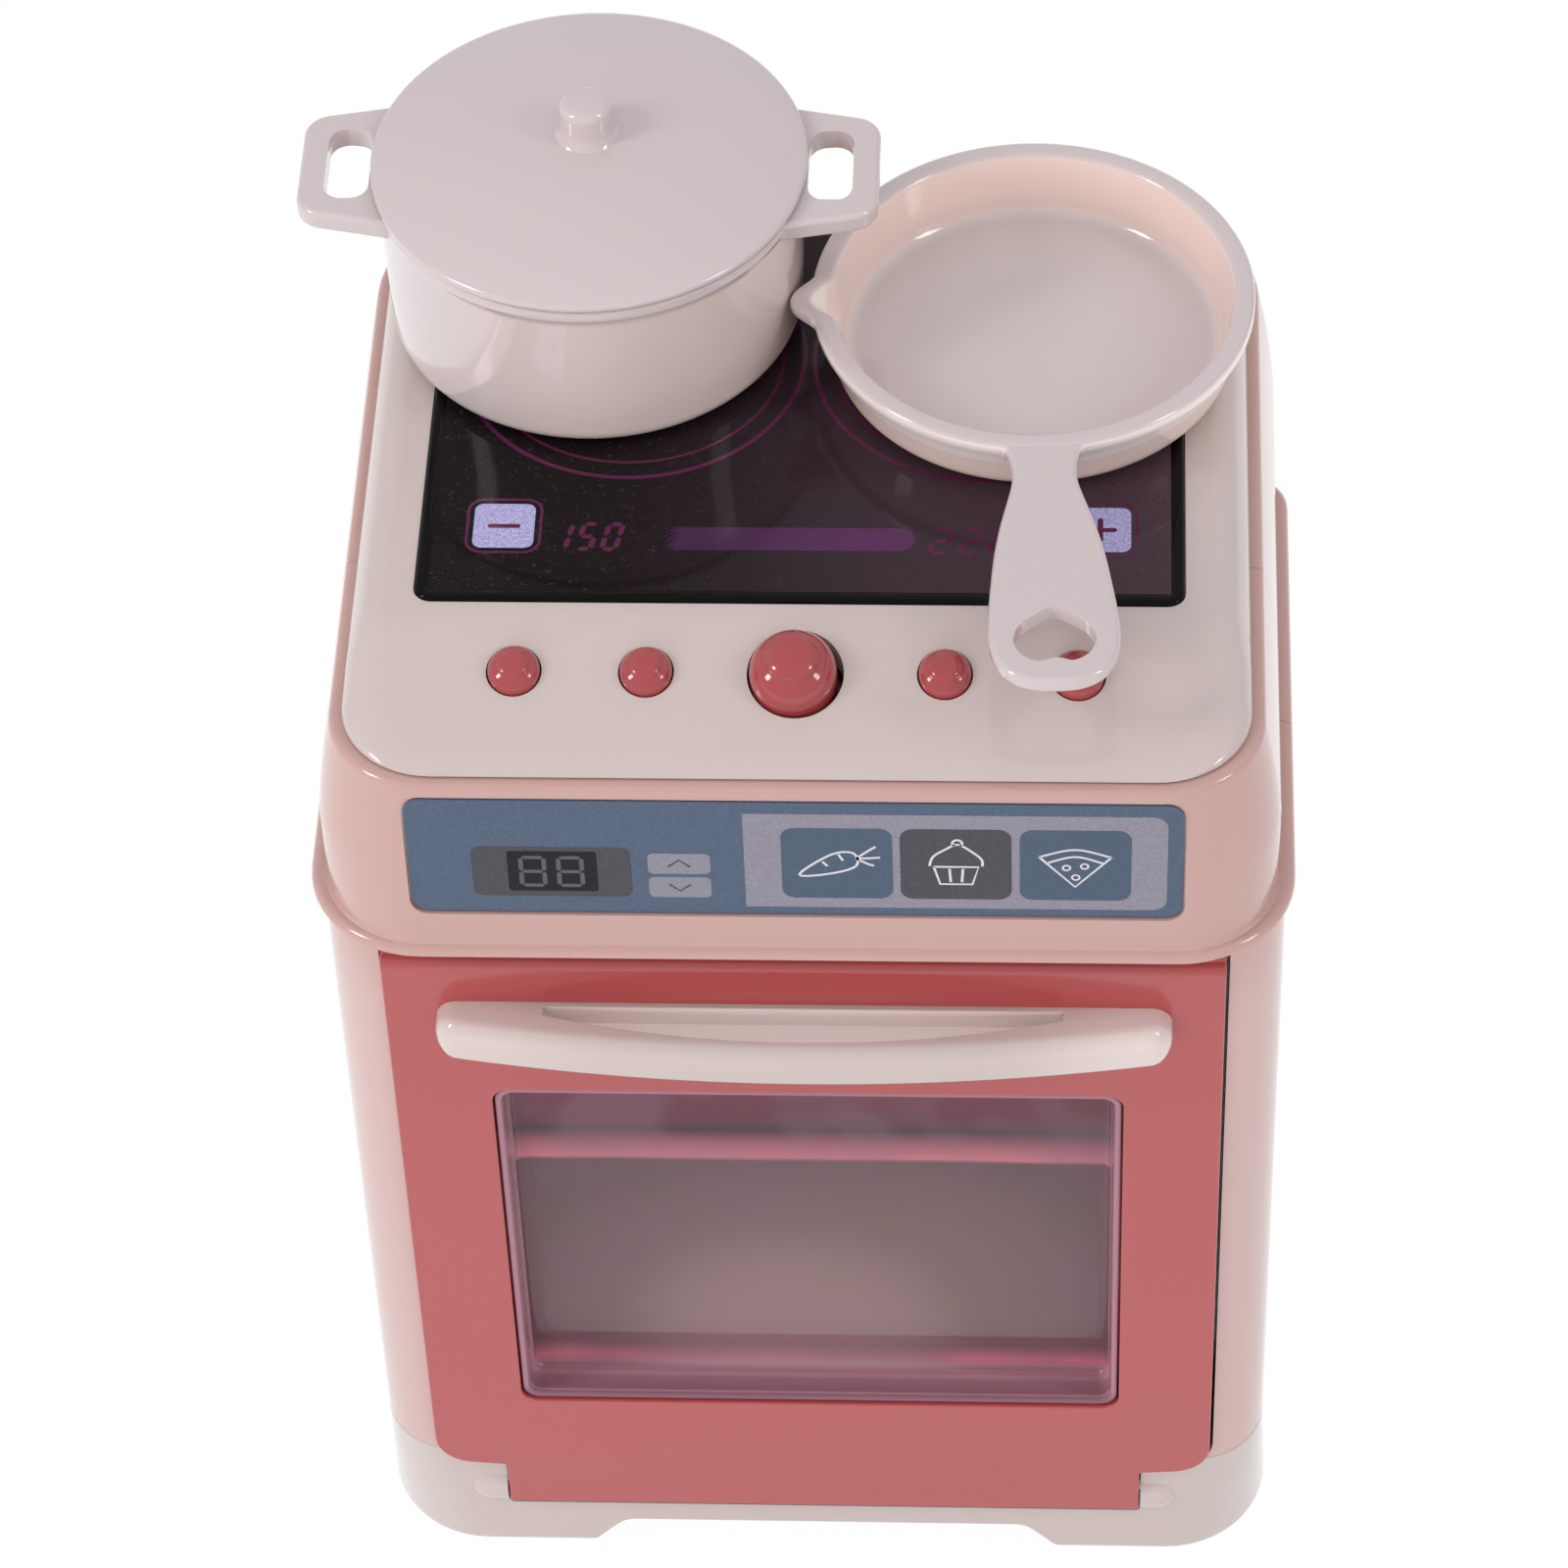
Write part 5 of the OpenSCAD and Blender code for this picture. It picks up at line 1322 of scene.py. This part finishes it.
def build_pan():
    finish = ("cookware_cream", "cookware_cream")
    spot = (PAN_X, PAN_Y, HOB_TOP, PAN_TURN)
    even = {round(2.25 * k, 3) for k in range(160)}
    turns = sorted(even | {round(180 + 0.75 * k, 3) for k in range(-13, 14)})

    def ring(radius, z, low, high):
        """A ring of the bowl, drawn out into the pouring lip near the rim."""
        share = min(max((z - low) / (high - low), 0.0), 1.0)
        share *= share * (3 - 2 * share)
        points = []
        for turn in turns:
            off = (turn - 180) / 9.0
            lip = 3.6 * share * math.cos(off * math.pi / 2) ** 1.6 if abs(off) < 1 else 0.0
            reach, t = radius + lip, math.radians(turn)
            points.append((reach * math.cos(t), reach * math.sin(t), z))
        return points

    rings = [ring(q, z, 4.5, 11.4) for q, z in PAN_OUTSIDE]
    rings += [ring(q, z, 7.5, 13.0) for q, z in PAN_INSIDE]
    bowl = moved(Shape().loft(rings), *spot).object("frying_pan_bowl")
    soften(bowl, 0.2, 2, 50)
    finished(bowl, "frying_pan", *finish, "frying_pan", sharp=50)

    line = smooth_path(PAN_HANDLE, 5)
    outline = resampled([(-x, y) for x, y in line] + line[::-1], 160)
    heart = [(0, 7.3)] + HEART + mirrored(HEART)
    hole = [(x, y - 79.5) for x, y in resampled(smooth_path(heart, 6, True), 64)]
    handle = moved(bevelled_plate(outline, 10.15, 13.05, 1.0), *spot)
    handle = handle.object("frying_pan_handle")
    carve(handle, *less(moved(Shape().prism(hole, 5, 20), *spot)))
    soften(handle, 0.7, 3, 50)
    finished(handle, "frying_pan", *finish, sharp=50)


# ---------------------------------------------------------------- inside and fixings

NODE_FINISH = {
    "bottom_cover": "cream_gloss",
    "oven_liner": "oven_mauve",
    "oven_lamp": "lamp_clear",
    "lamp_board": "circuit_board",
    "button_board": "circuit_board",
    "main_board": "circuit_board",
    "main_chip": "dark_plastic",
    "speaker": "dark_plastic",
    "battery_box": "dark_plastic",
    "button_pads": "pad_rubber",
    "batteries": "cell_wrap",
    "battery_cover": "pink_gloss",
}
STEEL_NODES = (
    "hinge_pins door_screws handle_screws button_board_screws main_board_screws speaker_magnet "
    "speaker_screws battery_springs battery_plates cover_screw shell_screws base_screws"
).split()


def dress_nodes():
    """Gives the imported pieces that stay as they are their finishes."""
    finishes = {**NODE_FINISH, **{name: "plated_steel" for name in STEEL_NODES}}
    for name, finish in finishes.items():
        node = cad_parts[name]
        node.data.materials.clear()
        node.data.materials.append(FINISHES[finish])


def build_screws():
    source = screw_head()
    under = [(x, y, 9.5) for x, y in BASE_SCREWS]
    rear = [(x, 56.0, z) for x, z in SHELL_SCREWS]
    for word, spots, axis in (("base", under, (0, 0, -1)), ("shell", rear, (0, 1, 0))):
        heads = scatter(f"{word}_screw_heads", spots, source, "plated_steel", axis)
        finished(heads, "housing", "plated_steel", "steel", f"{word}_screws", sharp=35)
    discard(source)


# ---------------------------------------------------------------- studio

FLOOR_HALF = 6000
FLOOR_SHADE = (0.86, 0.86, 0.86)
AIR_COLOUR, LAMP_COLOUR = (0.97, 0.955, 1.0, 1.0), (1.0, 0.985, 1.0)
# Place in metres, width and height in metres, and whether the lamp shows in glossy pieces
LAMPS = {
    "key_left": ((-0.95, -0.38, 0.98), (0.2, 0.5), True),
    "fill_right": ((1.0, -0.38, 0.98), (0.2, 0.5), True),
    "top_soft": ((0.0, -0.1, 1.35), (0.9, 0.9), False),
    "front_low": ((-0.55, -1.5, 0.4), (1.2, 0.35), False),
}
# The camera of the photograph: place in metres, lens in millimetres, angles in radians
CAMERA_PLACE, CAMERA_LENS = (0.045777, -0.738141, 0.958261), 144.216
CAMERA_YAW, CAMERA_PITCH, CAMERA_ROLL = -0.0703, 0.8359, -0.0433


def build_floor(studio):
    """A floor that is white to the camera and in reflections, and keeps the shadow."""
    corners = [(-FLOOR_HALF, -FLOOR_HALF), (FLOOR_HALF, -FLOOR_HALF)]
    corners += [(FLOOR_HALF, FLOOR_HALF), (-FLOOR_HALF, FLOOR_HALF)]
    ground = Shape().prism(corners, -20, 0).object("studio_floor")
    f = Finish("studio_paper")
    camera = f.node("ShaderNodeLightPath", out="Is Camera Ray")
    seen = camera.most(camera.other("Is Glossy Ray")).most(camera.other("Is Transmission Ray"))
    paper = f.node("ShaderNodeBsdfDiffuse", None, {"Color": FLOOR_SHADE})
    white = f.node("ShaderNodeEmission", None, {"Color": (1.0, 1.0, 1.0), "Strength": 1.0})
    blend = f.node("ShaderNodeMixShader", None, {0: seen * studio.white, 1: paper, 2: white})
    f.node("ShaderNodeOutputMaterial", None, {"Surface": blend})
    ground.data.materials.append(f.material)


def build_light(studio):
    scene = bpy.context.scene
    world = bpy.data.worlds.new("studio_air")
    scene.world = world
    world.use_nodes = True
    back = world.node_tree.nodes["Background"]
    back.inputs["Color"].default_value = AIR_COLOUR
    back.inputs["Strength"].default_value = studio.air
    middle = Vector((0.0, 0.0, 0.13))
    powers = (studio.key, studio.fill, studio.top, studio.front)
    for (name, (spot, size, gleams)), power in zip(LAMPS.items(), powers):
        data = bpy.data.lights.new(name, "AREA")
        data.shape, data.size, data.size_y, data.energy = "RECTANGLE", *size, power
        data.color = LAMP_COLOUR
        lamp = bpy.data.objects.new(name, data)
        lamp.location = spot
        lamp.rotation_euler = (middle - Vector(spot)).to_track_quat("-Z", "Y").to_euler()
        lamp.visible_glossy = gleams
        scene.collection.objects.link(lamp)


def build_camera():
    data = bpy.data.cameras.new("studio_camera")
    data.sensor_width, data.lens = 36.0, CAMERA_LENS
    data.clip_start, data.clip_end = 0.05, 50.0
    camera = bpy.data.objects.new("studio_camera", data)
    yaw, pitch, roll = CAMERA_YAW, CAMERA_PITCH, CAMERA_ROLL
    level_ahead = (math.sin(yaw) * math.cos(pitch), math.cos(yaw) * math.cos(pitch))
    ahead = Vector((*level_ahead, -math.sin(pitch)))
    right = Vector((math.cos(yaw), -math.sin(yaw), 0.0))
    up = right.cross(ahead)
    side = math.cos(roll) * right + math.sin(roll) * up
    over = -math.sin(roll) * right + math.cos(roll) * up
    matrix = Matrix((side, over, -ahead)).transposed().to_4x4()
    matrix.translation = Vector(CAMERA_PLACE)
    camera.matrix_world = matrix
    bpy.context.scene.collection.objects.link(camera)
    bpy.context.scene.camera = camera


# ---------------------------------------------------------------- the add-on


def paint(name, description, code):
    return bpy.props.FloatVectorProperty(
        name=name, description=description, default=tone(code), subtype="COLOR", min=0, max=1
    )


def number(name, description, default, low=0.0, high=100.0, unit="NONE"):
    return bpy.props.FloatProperty(
        name=name, description=description, default=default, min=low, max=high, unit=unit
    )


class OvenLook(bpy.types.PropertyGroup):
    """Colours of the mouldings."""

    cream: paint("Cream", "Top panel, base and handle", "cbbdb7")
    cookware: paint("Cookware", "Saucepan, lid and frying pan", "cfc2c0")
    pink: paint("Pink", "Head and body", "c69f96")
    coral: paint("Coral", "Door", "b44b4b")
    button: paint("Buttons", "Push buttons", "a64142")
    lamp: number("Lamp", "How strongly the oven's lining glows", 0.35)


class OvenSizes(bpy.types.PropertyGroup):
    """Sizes in millimetres."""

    edge: number("Edge", "Radius of the body's sharp edges in millimetres", 0.28, 0.05, 0.6)
    gap: number("Button gap", "Gap round each button in millimetres", 0.25, 0.2, 0.6)
    small: number("Small hole", "Radius of a small button's hole in millimetres", 4.5, 4, 5.2)
    big: number("Big hole", "Radius of the middle button's hole in millimetres", 7.8, 6, 8)
    handle: number("Handle", "Length of the door handle in millimetres", 123.0, 110, 126)

    def holes(self):
        """Place and radius of each button hole, from left to right."""
        small = [(x, BUTTON_Y, self.small) for x in (-45.3, -24.0, 24.0, 45.3)]
        return small[:2] + [(0.0, BUTTON_Y - 0.1, self.big)] + small[2:]


class OvenStudio(bpy.types.PropertyGroup):
    """Light of the studio."""

    air: number("Air", "Strength of the surroundings", 0.7)
    key: number("Key", "Power of the left lamp", 4.1, unit="POWER")
    fill: number("Fill", "Power of the right lamp", 2.4, unit="POWER")
    top: number("Top", "Power of the lamp above", 0.8, unit="POWER")
    front: number("Front", "Power of the low front lamp", 5.6, unit="POWER")
    white: number("White", "How far the floor is plain white to the camera", 0.99, 0, 1)


class OVEN_OT_finishes(bpy.types.Operator):
    """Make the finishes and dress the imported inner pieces"""

    bl_idname = "oven.finishes"
    bl_label = "Finishes"

    def execute(self, context):
        look = context.scene.oven_look
        make_mouldings(look)
        make_hob_finishes()
        make_strip_finishes()
        make_window_finish()
        make_inner_finishes(look)
        dress_nodes()
        return {"FINISHED"}


class OVEN_OT_shells(bpy.types.Operator):
    """Build the pink shells and the cream base"""

    bl_idname = "oven.shells"
    bl_label = "Shells and base"

    def execute(self, context):
        build_shells(context.scene.oven_sizes)
        build_base()
        return {"FINISHED"}


class OVEN_OT_top(bpy.types.Operator):
    """Build the top panel, the hob and the buttons"""

    bl_idname = "oven.top"
    bl_label = "Top, hob and buttons"

    def execute(self, context):
        build_top(context.scene.oven_sizes)
        build_hob()
        build_buttons(context.scene.oven_sizes)
        return {"FINISHED"}


class OVEN_OT_strip(bpy.types.Operator):
    """Build the printed control strip"""

    bl_idname = "oven.strip"
    bl_label = "Control strip"

    def execute(self, context):
        build_strip()
        return {"FINISHED"}


class OVEN_OT_door(bpy.types.Operator):
    """Build the door, its window and its handle"""

    bl_idname = "oven.door"
    bl_label = "Door"

    def execute(self, context):
        build_door()
        build_handle(context.scene.oven_sizes)
        return {"FINISHED"}


class OVEN_OT_cookware(bpy.types.Operator):
    """Build the saucepan, its lid and the frying pan"""

    bl_idname = "oven.cookware"
    bl_label = "Cookware"

    def execute(self, context):
        build_saucepan()
        build_pan()
        return {"FINISHED"}


class OVEN_OT_fixings(bpy.types.Operator):
    """Build the screw heads that show"""

    bl_idname = "oven.fixings"
    bl_label = "Screws"

    def execute(self, context):
        build_screws()
        return {"FINISHED"}


class OVEN_OT_studio(bpy.types.Operator):
    """Build the floor, the lamps and the camera"""

    bl_idname = "oven.studio"
    bl_label = "Studio"

    def execute(self, context):
        context.scene.view_settings.view_transform = "Standard"
        build_floor(context.scene.oven_studio)
        build_light(context.scene.oven_studio)
        build_camera()
        return {"FINISHED"}


STEPS = (
    OVEN_OT_finishes,
    OVEN_OT_shells,
    OVEN_OT_top,
    OVEN_OT_strip,
    OVEN_OT_door,
    OVEN_OT_cookware,
    OVEN_OT_fixings,
    OVEN_OT_studio,
)


class OVEN_PT_panel(bpy.types.Panel):
    """Lists the sizes, the colours and the building steps"""

    bl_idname = "OVEN_PT_panel"
    bl_label = "Toy oven"
    bl_space_type = "VIEW_3D"
    bl_region_type = "UI"
    bl_category = "Toy oven"

    def draw(self, context):
        scene = context.scene
        for group in (scene.oven_sizes, scene.oven_look, scene.oven_studio):
            box = self.layout.box()
            for name in group.__annotations__:
                box.prop(group, name)
        for step in STEPS:
            self.layout.operator(step.bl_idname)


CLASSES = (OvenLook, OvenSizes, OvenStudio, *STEPS, OVEN_PT_panel)


def register():
    for cls in CLASSES:
        bpy.utils.register_class(cls)
    bpy.types.Scene.oven_look = bpy.props.PointerProperty(type=OvenLook)
    bpy.types.Scene.oven_sizes = bpy.props.PointerProperty(type=OvenSizes)
    bpy.types.Scene.oven_studio = bpy.props.PointerProperty(type=OvenStudio)


def unregister():
    del bpy.types.Scene.oven_studio, bpy.types.Scene.oven_sizes, bpy.types.Scene.oven_look
    for cls in reversed(CLASSES):
        bpy.utils.unregister_class(cls)


def main():
    register()
    for step in STEPS:
        group, name = step.bl_idname.split(".")
        getattr(getattr(bpy.ops, group), name)()


if __name__ == "__main__":
    main()
